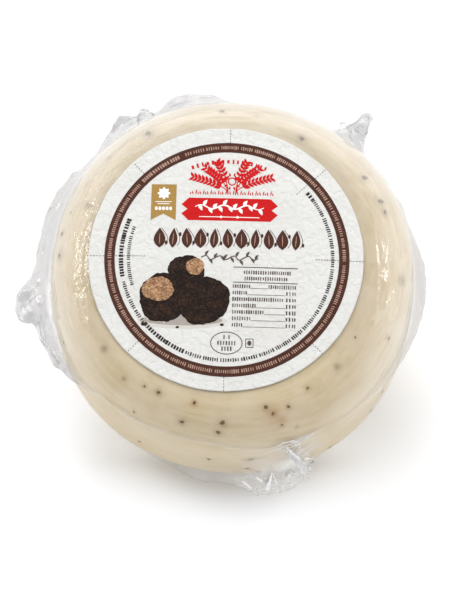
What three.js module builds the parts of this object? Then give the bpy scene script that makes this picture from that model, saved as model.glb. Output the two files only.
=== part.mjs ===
// A small truffle caciotta: a low round cheese wheel wrapped in clear film, with a round paper label on top.
// Millimetres, +Z up. The origin is the middle of the base, on the wheel's axis. The shown front faces -Y.
import * as THREE from "three";
import { mergeVertices } from "three/addons/utils/BufferGeometryUtils.js";

// The wheel: a flat base and a nearly flat top, joined by a full rounded side
const WHEEL_RADIUS = 68.2;
const WHEEL_HEIGHT = 75;
const WIDEST_HEIGHT = 41.8;
const TOP_CROWN = 2;
const BASE_SHARE = 0.66;
const TOP_SHARE = 0.7;
const LOWER_FULLNESS = 3.1;
const UPPER_FULLNESS = 2.87;

// The wheel is slightly out of round: waves round the side, how far they stand out, and where they peak
const OUT_OF_ROUND = [
  { waves: 2, reach: 0.33, peak: -46 },
  { waves: 4, reach: 0.53, peak: 37 },
];

// Where the film's two layers meet: a seam round the side, at these heights by angle from +X
const SEAM_COURSE = [
  { at: -173, height: 45 },
  { at: -150, height: 49 },
  { at: -132, height: 61 },
  { at: -101, height: 63 },
  { at: -80, height: 58.5 },
  { at: -66, height: 61 },
  { at: -48, height: 59 },
  { at: -22, height: 54 },
  { at: 0, height: 51 },
  { at: 52, height: 52 },
  { at: 100, height: 53 },
  { at: 140, height: 52 },
  { at: 165, height: 49 },
];
const SEAM_REACH = 0.9;
const SEAM_ROOT = 1.8;
const SEAM_EDGE = 0.8;
const FIN_HOLLOW = 0.75;
const LEAST_WAIST = 0.3;

// Ears and webs: where the film stands away from the wheel along the seam.
// reach and width are millimetres out and degrees round, rise lifts the tip, and square flattens the outline.
// spread is how far above and below the seam the film leaves the wheel there.
const EARS = [
  { name: "left web", at: 158, width: 20, reach: 5.2, rise: 0, square: 4, spread: 8.5 },
  { name: "left ear", at: -176, width: 9, reach: 12, rise: 2, square: 3, spread: 7 },
  { name: "left frill", at: -160, width: 9, reach: 5.4, rise: -1, square: 4, spread: 6 },
  { name: "back left flap", at: 125, width: 6.5, reach: 7.6, rise: 2.5, square: 2, spread: 3.5 },
  { name: "back left curl", at: 118, width: 1.8, reach: 5.2, rise: 2, square: 2, spread: 0 },
  { name: "back bubble", at: 101.5, width: 9.5, reach: 6.4, rise: 1.5, square: 3, spread: 5.5 },
  { name: "back right ear", at: 51.5, width: 3.6, reach: 15.2, rise: 4, square: 3, spread: 1 },
  { name: "back right curl", at: 56.5, width: 1.6, reach: 4.4, rise: 1.5, square: 2, spread: 0 },
  { name: "right bulge", at: 0, width: 15, reach: 4.2, rise: 0, square: 2.4, spread: 8.5 },
];

// Crumpling of the ears: short waves that grow from the seam to the tip, full once an ear stands out this far
const CRUMPLE_HEIGHT = 1.1;
const CRUMPLE_SHARE = 0.13;
const CRUMPLE_WAVES = { coarse: 33, fine: 56, edge: 43 };
const FINE_SHARE = 0.6;
const CRUMPLE_FROM = 4;

// The front skirt: film that hangs from the seam and stands out most just over the foot, by angle from +X.
// A hollow above 1 keeps its upper part close to the wheel.
const SKIRT = [
  { name: "middle", at: -81, width: 11, reach: 9.4, square: 2.4 },
  { name: "left tail", at: -97, width: 10, reach: 3.2, square: 2 },
  { name: "right tuck", at: -67.5, width: 3.2, reach: 8.4, square: 2 },
];
const SKIRT_HEIGHT = 9;
const SKIRT_FOOT = 1.2;
const SKIRT_HOLLOW = 1.4;

// The paper label, off the wheel's axis as the real one is, resting just clear of the film
const LABEL_RADIUS = 50;
const LABEL_THICKNESS = 0.4;
const LABEL_GAP = 0.3;
const LABEL_PLACE = { x: -2.5, y: 1.0 };

// How finely the surfaces are divided
const COLUMN_STEP = 6;
const EAR_STEP = 1.5;
const EAR_MARGIN = 1.4;
const EAR_MARGIN_MOST = 3;
const PLAIN_EAR_WIDTH = 12;
const PLAIN_SHARE = 0.7;
const LOWER_ROWS = 7;
const WAIST_ROWS = 3;
const SHOULDER_ROWS = 7;
const CROWN_ROWS = 3;
const FIN_STEPS = [0.5, 1];
const LABEL_SIDES = 72;
const LABEL_RINGS = 4;

const radians = THREE.MathUtils.degToRad;

// The smallest turn between two angles in degrees, without its sign
function turnBetween(a, b) {
  const turn = THREE.MathUtils.euclideanModulo(a - b, 360);
  return Math.min(turn, 360 - turn);
}

// A smooth bump round the wheel: 1 at its middle, falling to nothing past its width
function bump(angle, { at, width, square }) {
  return Math.exp(-((turnBetween(angle, at) / width) ** square));
}

function outOfRound(angle) {
  let out = 0;
  for (const wave of OUT_OF_ROUND) out += wave.reach * Math.cos(wave.waves * radians(angle - wave.peak));
  return out;
}

// The seam's height at an angle, eased between the named places of its course
function seamHeight(angle) {
  const places = SEAM_COURSE;
  const count = places.length;
  for (let i = 0; i < count; i += 1) {
    const here = places[i];
    const next = places[(i + 1) % count];
    const span = THREE.MathUtils.euclideanModulo(next.at - here.at, 360);
    const past = THREE.MathUtils.euclideanModulo(angle - here.at, 360);
    const share = THREE.MathUtils.smoothstep(past, 0, span);
    if (past <= span) return THREE.MathUtils.lerp(here.height, next.height, share);
  }
  return places[0].height;
}

// Points of the half section, without its seam, as a radius and a height.
// share runs from 0 at the widest place to 1 where the side meets the flat base or the crowned top.
function lowerSide(share, angle) {
  const turn = (share * Math.PI) / 2;
  const outer = WHEEL_RADIUS * (1 - BASE_SHARE) * Math.cos(turn) ** (2 / LOWER_FULLNESS);
  return {
    radius: WHEEL_RADIUS * BASE_SHARE + outer + outOfRound(angle),
    height: WIDEST_HEIGHT * (1 - Math.sin(turn) ** (2 / LOWER_FULLNESS)),
  };
}

function upperSide(share, angle) {
  const turn = (share * Math.PI) / 2;
  const outer = WHEEL_RADIUS * (1 - TOP_SHARE) * Math.cos(turn) ** (2 / UPPER_FULLNESS);
  const rise = WHEEL_HEIGHT - TOP_CROWN - WIDEST_HEIGHT;
  return {
    radius: WHEEL_RADIUS * TOP_SHARE + outer + outOfRound(angle),
    height: WIDEST_HEIGHT + rise * Math.sin(turn) ** (2 / UPPER_FULLNESS),
  };
}

// The share of the upper side at which it reaches a height
function shareAtHeight(height) {
  const rise = WHEEL_HEIGHT - TOP_CROWN - WIDEST_HEIGHT;
  const risen = THREE.MathUtils.clamp((height - WIDEST_HEIGHT) / rise, 0, 1);
  return (Math.asin(risen ** (UPPER_FULLNESS / 2)) * 2) / Math.PI;
}

// The top's height over a place, for the crown and for the label that lies on it
function topHeight(radius) {
  const flat = WHEEL_RADIUS * TOP_SHARE;
  if (radius <= flat) return WHEEL_HEIGHT - TOP_CROWN * (radius / flat) ** 2;
  const out = (radius - flat) / (WHEEL_RADIUS - flat);
  const rise = WHEEL_HEIGHT - TOP_CROWN - WIDEST_HEIGHT;
  return WIDEST_HEIGHT + rise * (1 - out ** UPPER_FULLNESS) ** (1 / UPPER_FULLNESS);
}

// How far the skirt stands out from the lower side at an angle and a height
function skirtReach(angle, height) {
  const top = seamHeight(angle);
  const hang =
    height > SKIRT_HEIGHT
      ? (top - height) / (top - SKIRT_HEIGHT)
      : (height - SKIRT_FOOT) / (SKIRT_HEIGHT - SKIRT_FOOT);
  const share = THREE.MathUtils.clamp(hang, 0, 1);
  let reach = 0;
  for (const part of SKIRT) reach += part.reach * bump(angle, part);
  return reach * share ** SKIRT_HOLLOW;
}

// The film at the seam: its reach, its tip's rise, the crumple of its ears and where it leaves the wheel
function finAt(angle) {
  let reach = SEAM_REACH;
  let rise = 0;
  let spread = SEAM_ROOT / 2;
  for (const ear of EARS) {
    const share = bump(angle, ear);
    reach += ear.reach * share;
    rise += ear.rise * share;
    spread += ear.spread * share;
  }
  const standing = THREE.MathUtils.clamp((reach - SEAM_REACH) / CRUMPLE_FROM, 0, 1);
  const { coarse, fine, edge } = CRUMPLE_WAVES;
  const wave = Math.sin(coarse * radians(angle)) + FINE_SHARE * Math.cos(fine * radians(angle));
  return {
    spread,
    reach: reach * (1 + CRUMPLE_SHARE * standing * Math.sin(edge * radians(angle))),
    lift: rise + CRUMPLE_HEIGHT * standing * wave,
  };
}

// One column of the wrapped wheel's surface, from the base's edge up to the crown, as radius and height pairs
function columnAt(angle) {
  const points = [];
  for (let i = 0; i < LOWER_ROWS; i += 1) {
    const point = lowerSide(1 - i / LOWER_ROWS, angle);
    point.radius += skirtReach(angle, point.height);
    points.push(point);
  }
  const seam = seamHeight(angle);
  const fin = finAt(angle);
  const rootLow = shareAtHeight(Math.max(seam - fin.spread, WIDEST_HEIGHT + LEAST_WAIST));
  const rootHigh = shareAtHeight(seam + fin.spread);
  for (let i = 0; i < WAIST_ROWS; i += 1) {
    const point = upperSide((rootLow * i) / WAIST_ROWS, angle);
    point.radius += skirtReach(angle, point.height);
    points.push(point);
  }
  const low = upperSide(rootLow, angle);
  const high = upperSide(rootHigh, angle);
  const tip = upperSide(shareAtHeight(seam), angle).radius + fin.reach;
  const underside = [];
  const topside = [];
  for (const step of FIN_STEPS) {
    const lift = fin.lift * step * step;
    const along = (root) => THREE.MathUtils.lerp(root.radius, tip, step);
    const sink = step ** FIN_HOLLOW;
    const level = (root, edge) => THREE.MathUtils.lerp(root.height, seam + edge / 2, sink) + lift;
    underside.push({ radius: along(low), height: level(low, -SEAM_EDGE) });
    topside.unshift({ radius: along(high), height: level(high, SEAM_EDGE) });
  }
  points.push(low, ...underside, ...topside, high);
  for (let i = 1; i <= SHOULDER_ROWS; i += 1) {
    points.push(upperSide(THREE.MathUtils.lerp(rootHigh, 1, i / SHOULDER_ROWS), angle));
  }
  const edge = points[points.length - 1].radius;
  for (let i = CROWN_ROWS - 1; i > 0; i -= 1) {
    const radius = (edge * i) / CROWN_ROWS;
    points.push({ radius, height: topHeight((WHEEL_RADIUS * TOP_SHARE * i) / CROWN_ROWS) });
  }
  return points;
}

// The angles of the columns: evenly spaced, and closer together through each ear and the skirt,
// except in the plain middle of a wide one
function columnAngles() {
  const angles = new Set();
  for (let angle = -180; angle < 180; angle += COLUMN_STEP) angles.add(angle);
  const fine = [...EARS, ...SKIRT];
  const reachOf = (width) => Math.min(width * EAR_MARGIN, width + EAR_MARGIN_MOST);
  for (let angle = -180; angle < 180; angle += EAR_STEP) {
    const near = fine.some(({ at, width }) => turnBetween(angle, at) <= reachOf(width));
    const plain = fine.some(
      ({ at, width }) => width > PLAIN_EAR_WIDTH && turnBetween(angle, at) <= width * PLAIN_SHARE,
    );
    if (near && !plain) angles.add(angle);
  }
  return [...angles].sort((a, b) => a - b);
}

// A closed skin over columns of points, with one pole below and one above
function skinOver(columns, bottom, top) {
  const rows = columns[0].length;
  const count = columns.length;
  const positions = [bottom.x, bottom.y, bottom.z];
  for (const column of columns) for (const point of column) positions.push(point.x, point.y, point.z);
  positions.push(top.x, top.y, top.z);
  const last = positions.length / 3 - 1;
  const indexOf = (column, row) => 1 + (column % count) * rows + row;
  const faces = [];
  for (let c = 0; c < count; c += 1) {
    faces.push(0, indexOf(c + 1, 0), indexOf(c, 0));
    for (let r = 0; r < rows - 1; r += 1) {
      const [a, b, d, e] = [indexOf(c, r), indexOf(c + 1, r), indexOf(c + 1, r + 1), indexOf(c, r + 1)];
      faces.push(a, b, d, a, d, e);
    }
    faces.push(last, indexOf(c, rows - 1), indexOf(c + 1, rows - 1));
  }
  const geometry = new THREE.BufferGeometry();
  geometry.setAttribute("position", new THREE.Float32BufferAttribute(positions, 3));
  geometry.setIndex(faces);
  return mergeVertices(geometry, 1e-3);
}

// The cheese wheel inside its clear film, out to the film's seam, ears and front skirt
function wrappedWheel() {
  const columns = columnAngles().map((angle) =>
    columnAt(angle).map(
      ({ radius, height }) =>
        new THREE.Vector3(radius * Math.cos(radians(angle)), radius * Math.sin(radians(angle)), height),
    ),
  );
  const geometry = skinOver(columns, new THREE.Vector3(0, 0, 0), new THREE.Vector3(0, 0, WHEEL_HEIGHT));
  geometry.computeVertexNormals();
  const material = new THREE.MeshStandardMaterial({ color: 0xeadfc6, roughness: 0.25, metalness: 0 });
  const mesh = new THREE.Mesh(geometry, material);
  mesh.name = "film_wrapped_wheel";
  return mesh;
}

// The round paper label: a thin disc that follows the crown under it
function paperLabel() {
  const columns = [];
  const heightOver = (x, y) => topHeight(Math.hypot(x + LABEL_PLACE.x, y + LABEL_PLACE.y)) + LABEL_GAP;
  for (let side = 0; side < LABEL_SIDES; side += 1) {
    const turn = (side / LABEL_SIDES) * 2 * Math.PI;
    const column = [];
    for (let ring = 1; ring <= LABEL_RINGS; ring += 1) {
      const radius = (LABEL_RADIUS * ring) / LABEL_RINGS;
      const [x, y] = [radius * Math.cos(turn), radius * Math.sin(turn)];
      column.push(new THREE.Vector3(x, y, heightOver(x, y)));
    }
    for (let ring = LABEL_RINGS; ring > 0; ring -= 1) {
      const below = column[ring - 1];
      column.push(new THREE.Vector3(below.x, below.y, below.z + LABEL_THICKNESS));
    }
    columns.push(column);
  }
  const middle = heightOver(0, 0);
  const geometry = skinOver(
    columns,
    new THREE.Vector3(0, 0, middle),
    new THREE.Vector3(0, 0, middle + LABEL_THICKNESS),
  );
  geometry.computeVertexNormals();
  const material = new THREE.MeshStandardMaterial({ color: 0xf0efec, roughness: 0.7, metalness: 0 });
  const mesh = new THREE.Mesh(geometry, material);
  mesh.name = "paper_label";
  mesh.position.set(LABEL_PLACE.x, LABEL_PLACE.y, 0);
  return mesh;
}

const caciotta = new THREE.Group();
caciotta.add(wrappedWheel(), paperLabel());

export default caciotta;
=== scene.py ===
"""A small truffle caciotta: a low round cheese wheel in clear film, with a round paper label on top.

Lengths are millimetres until a mesh, a camera or a light is made, and metres in Blender.
The origin is the middle of the base, +Z is up, and the shown front faces -Y. Angles are degrees from +X.
"""

import math
import random

import bpy
import numpy as np
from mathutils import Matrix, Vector, geometry, noise


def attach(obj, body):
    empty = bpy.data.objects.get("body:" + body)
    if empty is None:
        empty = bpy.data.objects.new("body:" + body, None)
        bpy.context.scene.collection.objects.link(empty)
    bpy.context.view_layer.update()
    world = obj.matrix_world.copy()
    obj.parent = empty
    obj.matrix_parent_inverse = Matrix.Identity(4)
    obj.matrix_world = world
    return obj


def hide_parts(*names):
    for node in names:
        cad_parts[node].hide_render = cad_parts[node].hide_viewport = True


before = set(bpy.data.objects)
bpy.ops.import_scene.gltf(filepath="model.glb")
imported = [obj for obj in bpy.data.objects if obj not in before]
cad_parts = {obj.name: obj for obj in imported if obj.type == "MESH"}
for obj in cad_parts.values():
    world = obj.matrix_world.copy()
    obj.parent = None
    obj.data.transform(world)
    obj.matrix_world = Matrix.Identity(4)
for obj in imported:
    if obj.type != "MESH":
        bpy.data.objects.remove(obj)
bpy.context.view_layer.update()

MM = 0.001
TINY = 1e-9

# The wheel's form: each share is how much of the radius is flat at the base or the top, and a fullness
# above 2 makes the rounded side squarer than an ellipse
WHEEL_RADIUS = 68.2
WHEEL_HEIGHT = 75.0
WIDEST_HEIGHT = 41.8
TOP_CROWN = 2.0
BASE_SHARE = 0.66
TOP_SHARE = 0.70
LOWER_FULLNESS = 3.1
UPPER_FULLNESS = 2.87
TOP_RISE = WHEEL_HEIGHT - TOP_CROWN - WIDEST_HEIGHT
# The waves that make it slightly out of round: how many go round, how far they reach and where one peaks
OUT_OF_ROUND = [(2, 0.33, -46), (4, 0.53, 37)]

# The film's seam: its height by angle, eased between these places
SEAM_COURSE = [
    (-173, 45), (-150, 49), (-132, 61), (-101, 63), (-80, 58.5), (-66, 61), (-48, 59), (-22, 54),
    (0, 51), (52, 52), (100, 53), (140, 52), (165, 49),
]

# The label lies a little off the wheel's axis. Its print is a little off the label's middle and turned
# clockwise.
LABEL_X = -2.5
LABEL_Y = 1.0
LABEL_RADIUS = 50.0
LABEL_GAP = 0.2
LABEL_THICKNESS = 0.26
PRINT_TURN = -1.3
PRINT_X = LABEL_X + 0.35
PRINT_Y = LABEL_Y - 0.25

# The camera: where it looks, where it stands, its lens and the nearest and farthest that it sees, in metres
CAMERA_AIM = (-2.8, -14.0, 70.5)
CAMERA_FROM = (-2.3, -300.5, 1028.7)
CAMERA_LENS = 165.6
SENSOR = 36.0
CAMERA_NEAR = 0.05
CAMERA_FAR = 20


def link(thing):
    bpy.context.scene.collection.objects.link(thing)


def turn_to(thing, aim):
    """Turns a camera or a lamp to face a point."""
    thing.rotation_euler = (Vector(aim) - thing.location).to_track_quat("-Z", "Y").to_euler()


def make_camera():
    data = bpy.data.cameras.new("camera")
    data.lens = CAMERA_LENS
    data.sensor_width = SENSOR
    data.clip_start = CAMERA_NEAR
    data.clip_end = CAMERA_FAR
    camera = bpy.data.objects.new("camera", data)
    link(camera)
    camera.location = Vector(CAMERA_FROM) * MM
    turn_to(camera, Vector(CAMERA_AIM) * MM)
    bpy.context.scene.camera = camera


make_camera()


# The wheel's form as formulas, for arrays of angles


def turn_between(first, second):
    turn = np.mod(np.asarray(first, float) - second, 360)
    return np.minimum(turn, 360 - turn)


def bump(angle, at, width, square=2.0):
    """1 at the middle of a place round the wheel, falling smoothly to nothing past its width."""
    return np.exp(-((turn_between(angle, at) / width) ** square))


def smooth(value):
    share = np.clip(value, 0, 1)
    return share * share * (3 - 2 * share)


def out_of_round(angle):
    return sum(reach * np.cos(count * np.radians(angle - peak)) for count, reach, peak in OUT_OF_ROUND)


def seam_height(angle):
    angle = np.asarray(angle, float)
    height = np.zeros_like(angle)
    for (start, low), (end, high) in zip(SEAM_COURSE, SEAM_COURSE[1:] + SEAM_COURSE[:1]):
        span = (end - start) % 360
        past = np.mod(angle - start, 360)
        height = np.where(past <= span, low + (high - low) * smooth(past / span), height)
    return height


def half_side(share, angle, flat_share, fullness):
    """Radius at a share of the way from the widest place to a flat, and the share of the height gone."""
    turn = share * math.pi / 2
    outer = WHEEL_RADIUS * (1 - flat_share) * np.abs(np.cos(turn)) ** (2 / fullness)
    return WHEEL_RADIUS * flat_share + outer + out_of_round(angle), np.sin(turn) ** (2 / fullness)


def lower_side(share, angle):
    """Radius and height at a share of the way from the widest place down to the flat base."""
    radius, sunk = half_side(share, angle, BASE_SHARE, LOWER_FULLNESS)
    return radius, WIDEST_HEIGHT * (1 - sunk)


def upper_side(share, angle):
    """Radius and height at a share of the way from the widest place up to the crowned top."""
    radius, risen = half_side(share, angle, TOP_SHARE, UPPER_FULLNESS)
    return radius, WIDEST_HEIGHT + TOP_RISE * risen


def share_at_height(height):
    risen = np.clip((height - WIDEST_HEIGHT) / TOP_RISE, 0, 1)
    return np.arcsin(risen ** (UPPER_FULLNESS / 2)) * 2 / math.pi


def share_below(height):
    sunk = np.clip(1 - height / WIDEST_HEIGHT, 0, 1)
    return np.arcsin(sunk ** (LOWER_FULLNESS / 2)) * 2 / math.pi


def top_height(radius):
    flat = WHEEL_RADIUS * TOP_SHARE
    out = np.clip((radius - flat) / (WHEEL_RADIUS - flat), 0, 1)
    crown = WHEEL_HEIGHT - TOP_CROWN * (np.minimum(radius, flat) / flat) ** 2
    shoulder = WIDEST_HEIGHT + TOP_RISE * (1 - out**UPPER_FULLNESS) ** (1 / UPPER_FULLNESS)
    return np.where(radius <= flat, crown, shoulder)


def around(radius, angle, height):
    """Points from a radius, an angle and a height, stacked in the last axis."""
    turn = np.radians(angle)
    return np.stack(np.broadcast_arrays(radius * np.cos(turn), radius * np.sin(turn), height), axis=-1)


def waves(points, size, seed=0.0):
    """Soft noise from -1 to 1 at points, with hills about size wide."""
    flat = np.asarray(points, float).reshape(-1, 3) / size + seed
    found = np.array([noise.noise(Vector(place)) for place in flat.tolist()])
    return found.reshape(np.asarray(points).shape[:-1])


# Meshes


def make_piece(name, points, faces, material, smooth_shading=True):
    mesh = bpy.data.meshes.new(name)
    mesh.from_pydata((np.asarray(points, float) * MM).tolist(), [], [tuple(face) for face in faces])
    mesh.polygons.foreach_set("use_smooth", [smooth_shading] * len(mesh.polygons))
    mesh.materials.append(material)
    mesh.update()
    piece = bpy.data.objects.new(name, mesh)
    link(piece)
    return piece


def corners_of(piece):
    """The places of a piece's corners in millimetres, one to a row."""
    places = np.zeros(len(piece.data.vertices) * 3)
    piece.data.vertices.foreach_get("co", places)
    return places.reshape(-1, 3) / MM


def write_level(piece, name, level):
    """Stores a value for each corner of a piece, and 0 for any last ones that it has more."""
    layer = piece.data.attributes.new(name, "FLOAT", "POINT")
    spare = len(piece.data.vertices) - level.size
    layer.data.foreach_set("value", np.append(level.ravel(), np.zeros(spare)))


def grid_faces(rows, columns, wrap):
    """Quads of a grid of points numbered row by row, closed from last column to first if wrap is set."""
    row = np.arange(rows - 1)[:, None] * columns
    column = np.arange(columns if wrap else columns - 1)[None, :]
    beside = (column + 1) % columns
    quads = np.stack([row + column, row + beside, row + columns + beside, row + columns + column], axis=-1)
    return quads.reshape(-1, 4).tolist()


def grid_normals(points, wrap):
    """Unit normals of a grid of points, rows first."""
    along = np.gradient(points, axis=0)
    if wrap:
        across = (np.roll(points, -1, axis=1) - np.roll(points, 1, axis=1)) / 2
    else:
        across = np.gradient(points, axis=1)
    normal = np.cross(across, along)
    return normal / np.maximum(np.linalg.norm(normal, axis=-1, keepdims=True), TINY)


def reversed_faces(faces):
    return [list(reversed(face)) for face in faces]


def finish_piece(piece, slot, *nodes):
    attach(piece, "root")
    if nodes:
        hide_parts(*nodes)


# Node trees are written as arithmetic on wires


def plug(tree, value, socket):
    if isinstance(value, Wire):
        tree.links.new(value.socket, socket)
    else:
        socket.default_value = value


class Wire:
    """One value inside a node tree."""

    def __init__(self, tree, socket):
        self.tree = tree
        self.socket = socket

    def through(self, kind, operation, others, output=0):
        """The result of a new node that takes this value first and the others after it."""
        node = self.tree.nodes.new(kind)
        node.operation = operation
        for place, value in enumerate([self, *others]):
            plug(self.tree, value, node.inputs[place])
        return Wire(self.tree, node.outputs[output])

    def math(self, operation, *others):
        return self.through("ShaderNodeMath", operation, others)

    def vector_math(self, operation, *others):
        return self.through("ShaderNodeVectorMath", operation, others)

    def dot(self, way):
        return self.through("ShaderNodeVectorMath", "DOT_PRODUCT", [way], "Value")

    def scaled(self, factor):
        result = self.vector_math("SCALE")
        plug(self.tree, factor, result.socket.node.inputs["Scale"])
        return result

    def parts(self):
        node = self.tree.nodes.new("ShaderNodeSeparateXYZ")
        plug(self.tree, self, node.inputs[0])
        return [Wire(self.tree, output) for output in node.outputs]

    def ramp(self, low, high, low_to=0.0, high_to=1.0):
        """Maps low..high onto low_to..high_to smoothly and holds the ends."""
        node = self.tree.nodes.new("ShaderNodeMapRange")
        node.interpolation_type = "SMOOTHSTEP"
        sockets = ("Value", "From Min", "From Max", "To Min", "To Max")
        for name, value in zip(sockets, (self, low, high, low_to, high_to)):
            plug(self.tree, value, node.inputs[name])
        return Wire(self.tree, node.outputs[0])

    def falloff(self):
        """1 where this is 0, falling towards nothing as it grows."""
        return (self * -1.0).math("EXPONENT")

    def __add__(self, other):
        return self.math("ADD", other)

    def __sub__(self, other):
        return self.math("SUBTRACT", other)

    def __rsub__(self, other):
        return self * -1.0 + other

    def __mul__(self, other):
        return self.math("MULTIPLY", other)

    def __truediv__(self, other):
        return self.math("DIVIDE", other)

    def __pow__(self, other):
        return self.math("POWER", other)


def node_value(tree, kind, output=0, **inputs):
    """A new node of a kind with its named inputs set or linked, as the wire of one output."""
    node = tree.nodes.new(kind)
    for name, value in inputs.items():
        plug(tree, value, node.inputs[name.replace("_", " ")])
    return Wire(tree, node.outputs[output])


def joined(tree, x, y, z):
    return node_value(tree, "ShaderNodeCombineXYZ", X=x, Y=y, Z=z)


def from_axis(x, y):
    return (x * x + y * y).math("SQRT")


# Materials


def new_material(name):
    """A material, its tree, its main shader and the place on a piece that its patterns read."""
    material = bpy.data.materials.new(name)
    material.use_nodes = True
    tree = material.node_tree
    place = node_value(tree, "ShaderNodeTexCoord", "Object")
    return material, tree, tree.nodes["Principled BSDF"], place


def set_sockets(shader, **values):
    for name, value in values.items():
        plug(shader.id_data, value, shader.inputs[name.replace("_", " ")])


def colour(red, green, blue):
    """A linear colour from 0..255 screen values."""
    def linear(part):
        share = part / 255
        return share / 12.92 if share <= 0.04045 else ((share + 0.055) / 1.055) ** 2.4
    return (linear(red), linear(green), linear(blue), 1.0)


def noise_at(tree, place, scale, detail, roughness):
    return node_value(
        tree, "ShaderNodeTexNoise", Vector=place, Scale=scale, Detail=detail, Roughness=roughness,
    )


def creases_at(tree, place, scale, detail, roughness):
    """0 along the creases of a pattern, rising between them."""
    return (noise_at(tree, place, scale, detail, roughness) - 0.5).math("ABSOLUTE")


def drawn_round(tree, place, pull):
    """A place with its course round the wheel shortened, which draws a noise read there into streaks."""
    x, y, z = place.parts()
    course = x.math("ARCTAN2", y * -1.0) * (WHEEL_RADIUS * MM * pull)
    return joined(tree, course, from_axis(x, y), z)


# The places of the colour sockets of a Mix node, which has sockets for every kind of value
MIX_FIRST_COLOUR = 6
MIX_SECOND_COLOUR = 7
MIX_COLOUR_RESULT = 2


def mix_colours(tree, factor, first, second):
    node = tree.nodes.new("ShaderNodeMix")
    node.data_type = "RGBA"
    plug(tree, factor, node.inputs["Factor"])
    plug(tree, first, node.inputs[MIX_FIRST_COLOUR])
    plug(tree, second, node.inputs[MIX_SECOND_COLOUR])
    return Wire(tree, node.outputs[MIX_COLOUR_RESULT])


def bumped(tree, shader, height, distance, strength=1.0):
    normal = node_value(tree, "ShaderNodeBump", "Normal", Strength=strength, Distance=distance, Height=height)
    set_sockets(shader, Normal=normal)


def attribute(tree, name):
    level = node_value(tree, "ShaderNodeAttribute", "Fac")
    level.socket.node.attribute_name = name
    return level


def make_cheese_material():
    """Ivory paste: cloudy patches, deeper low on the side, with a fine curd grain and streaks round the side.

    The mesh stores the rust stains and the soft grey spots of truffle that lies just under the surface.
    """
    material, tree, shader, place = new_material("cheese_paste")
    clouds = noise_at(tree, place, 75.0, 3.0, 0.55)
    low_on_side = place.parts()[2].ramp(0.066, 0.018)
    grain = noise_at(tree, place, 420.0, 2.0, 0.6)
    streaks = noise_at(tree, drawn_round(tree, place, 0.12), 520.0, 3.0, 0.6)
    paste = mix_colours(tree, clouds.ramp(0.35, 0.65), colour(201, 183, 146), colour(210, 194, 166))
    for share, tone in (
        (low_on_side, colour(201, 179, 136)),
        (grain.ramp(0.35, 0.75) * 0.12, colour(186, 163, 123)),
        (streaks.ramp(0.36, 0.64) * 0.45, colour(218, 203, 173)),
        (attribute(tree, "rust_stain"), colour(178, 130, 88)),
        (attribute(tree, "sunk_truffle"), colour(118, 95, 58)),
    ):
        paste = mix_colours(tree, share, paste, tone)
    set_sockets(shader, Base_Color=paste, Roughness=0.42)
    set_sockets(shader, Subsurface_Weight=0.18, Subsurface_Scale=0.004, Subsurface_Radius=(1.0, 0.7, 0.4))
    bumped(tree, shader, noise_at(tree, place, 160.0, 4.0, 0.6), 0.0003, 0.35)
    return material


def make_truffle_material():
    material, tree, shader, place = new_material("truffle_pieces")
    flesh = noise_at(tree, place, 900.0, 3.0, 0.6)
    tone = mix_colours(tree, flesh.ramp(0.4, 0.7), colour(100, 74, 38), colour(148, 120, 76))
    set_sockets(shader, Base_Color=tone, Roughness=0.6)
    bumped(tree, shader, flesh, 0.0002, 0.6)
    return material


def make_film_material():
    """Clear film, seen through where it faces the eye, glossy where seen edge on and milky where crushed.

    The mesh stores how crumpled it is, how milky (which includes a painted sheen on the back shoulders and a
    painted highlight along the seam in front), how much air lies under it and how loosely it hangs (which
    greys it and includes painted shade).
    """
    material, tree, shader, place = new_material("clear_film")
    crumple = attribute(tree, "film_crumple")
    haze_and_sheen = attribute(tree, "film_haze_and_sheen")
    gap = attribute(tree, "film_gap")
    streaks = noise_at(tree, drawn_round(tree, place, 0.28), 430.0, 3.0, 0.6)
    wrinkles = noise_at(tree, place, 380.0, 3.0, 0.6)
    crease = creases_at(tree, place, 130.0, 2.0, 0.5).ramp(0.04, 0.0)
    # White along the creases where the film is crumpled: partly the film's own whitening, partly painted
    # glints. The stored milky white adds a painted sheen and seam highlight.
    white = haze_and_sheen + crease * crumple.ramp(0.6, 1.0) * 0.25
    facing = node_value(tree, "ShaderNodeLayerWeight", 1, Blend=0.5)
    sheen = facing.ramp(0.05, 0.55) * 0.16 + facing**3.0 * 0.25 + 0.07
    gloss = gap * sheen + 0.015 + white
    set_sockets(shader, Roughness=0.10, Base_Color=(0.94, 0.94, 0.94, 1.0))
    set_sockets(shader, Metallic=white.ramp(0.0, 0.16, 0.9, 0.25))
    bumped(tree, shader, streaks + wrinkles * (crumple + 0.1), 0.0005, crumple.ramp(0.1, 1.0, 0.12, 1.0))
    # Greyer where the film hangs loose, a veil that in the skirt is partly painted shade, and a little greyer
    # where it clings, which darkens the cheese in front: painted shade.
    veil_and_shade = attribute(tree, "film_veil_and_shade") + gap * -0.06 + 0.06
    tint = mix_colours(tree, veil_and_shade, (0.98, 0.98, 0.98, 1.0), (0.705, 0.71, 0.735, 1.0))
    clear = node_value(tree, "ShaderNodeBsdfTransparent", Color=tint)
    both = tree.nodes.new("ShaderNodeMixShader")
    plug(tree, gloss.math("MINIMUM", 1.0), both.inputs["Fac"])
    tree.links.new(clear.socket, both.inputs[1])
    tree.links.new(shader.outputs[0], both.inputs[2])
    tree.links.new(both.outputs[0], tree.nodes["Material Output"].inputs["Surface"])
    return material


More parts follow.
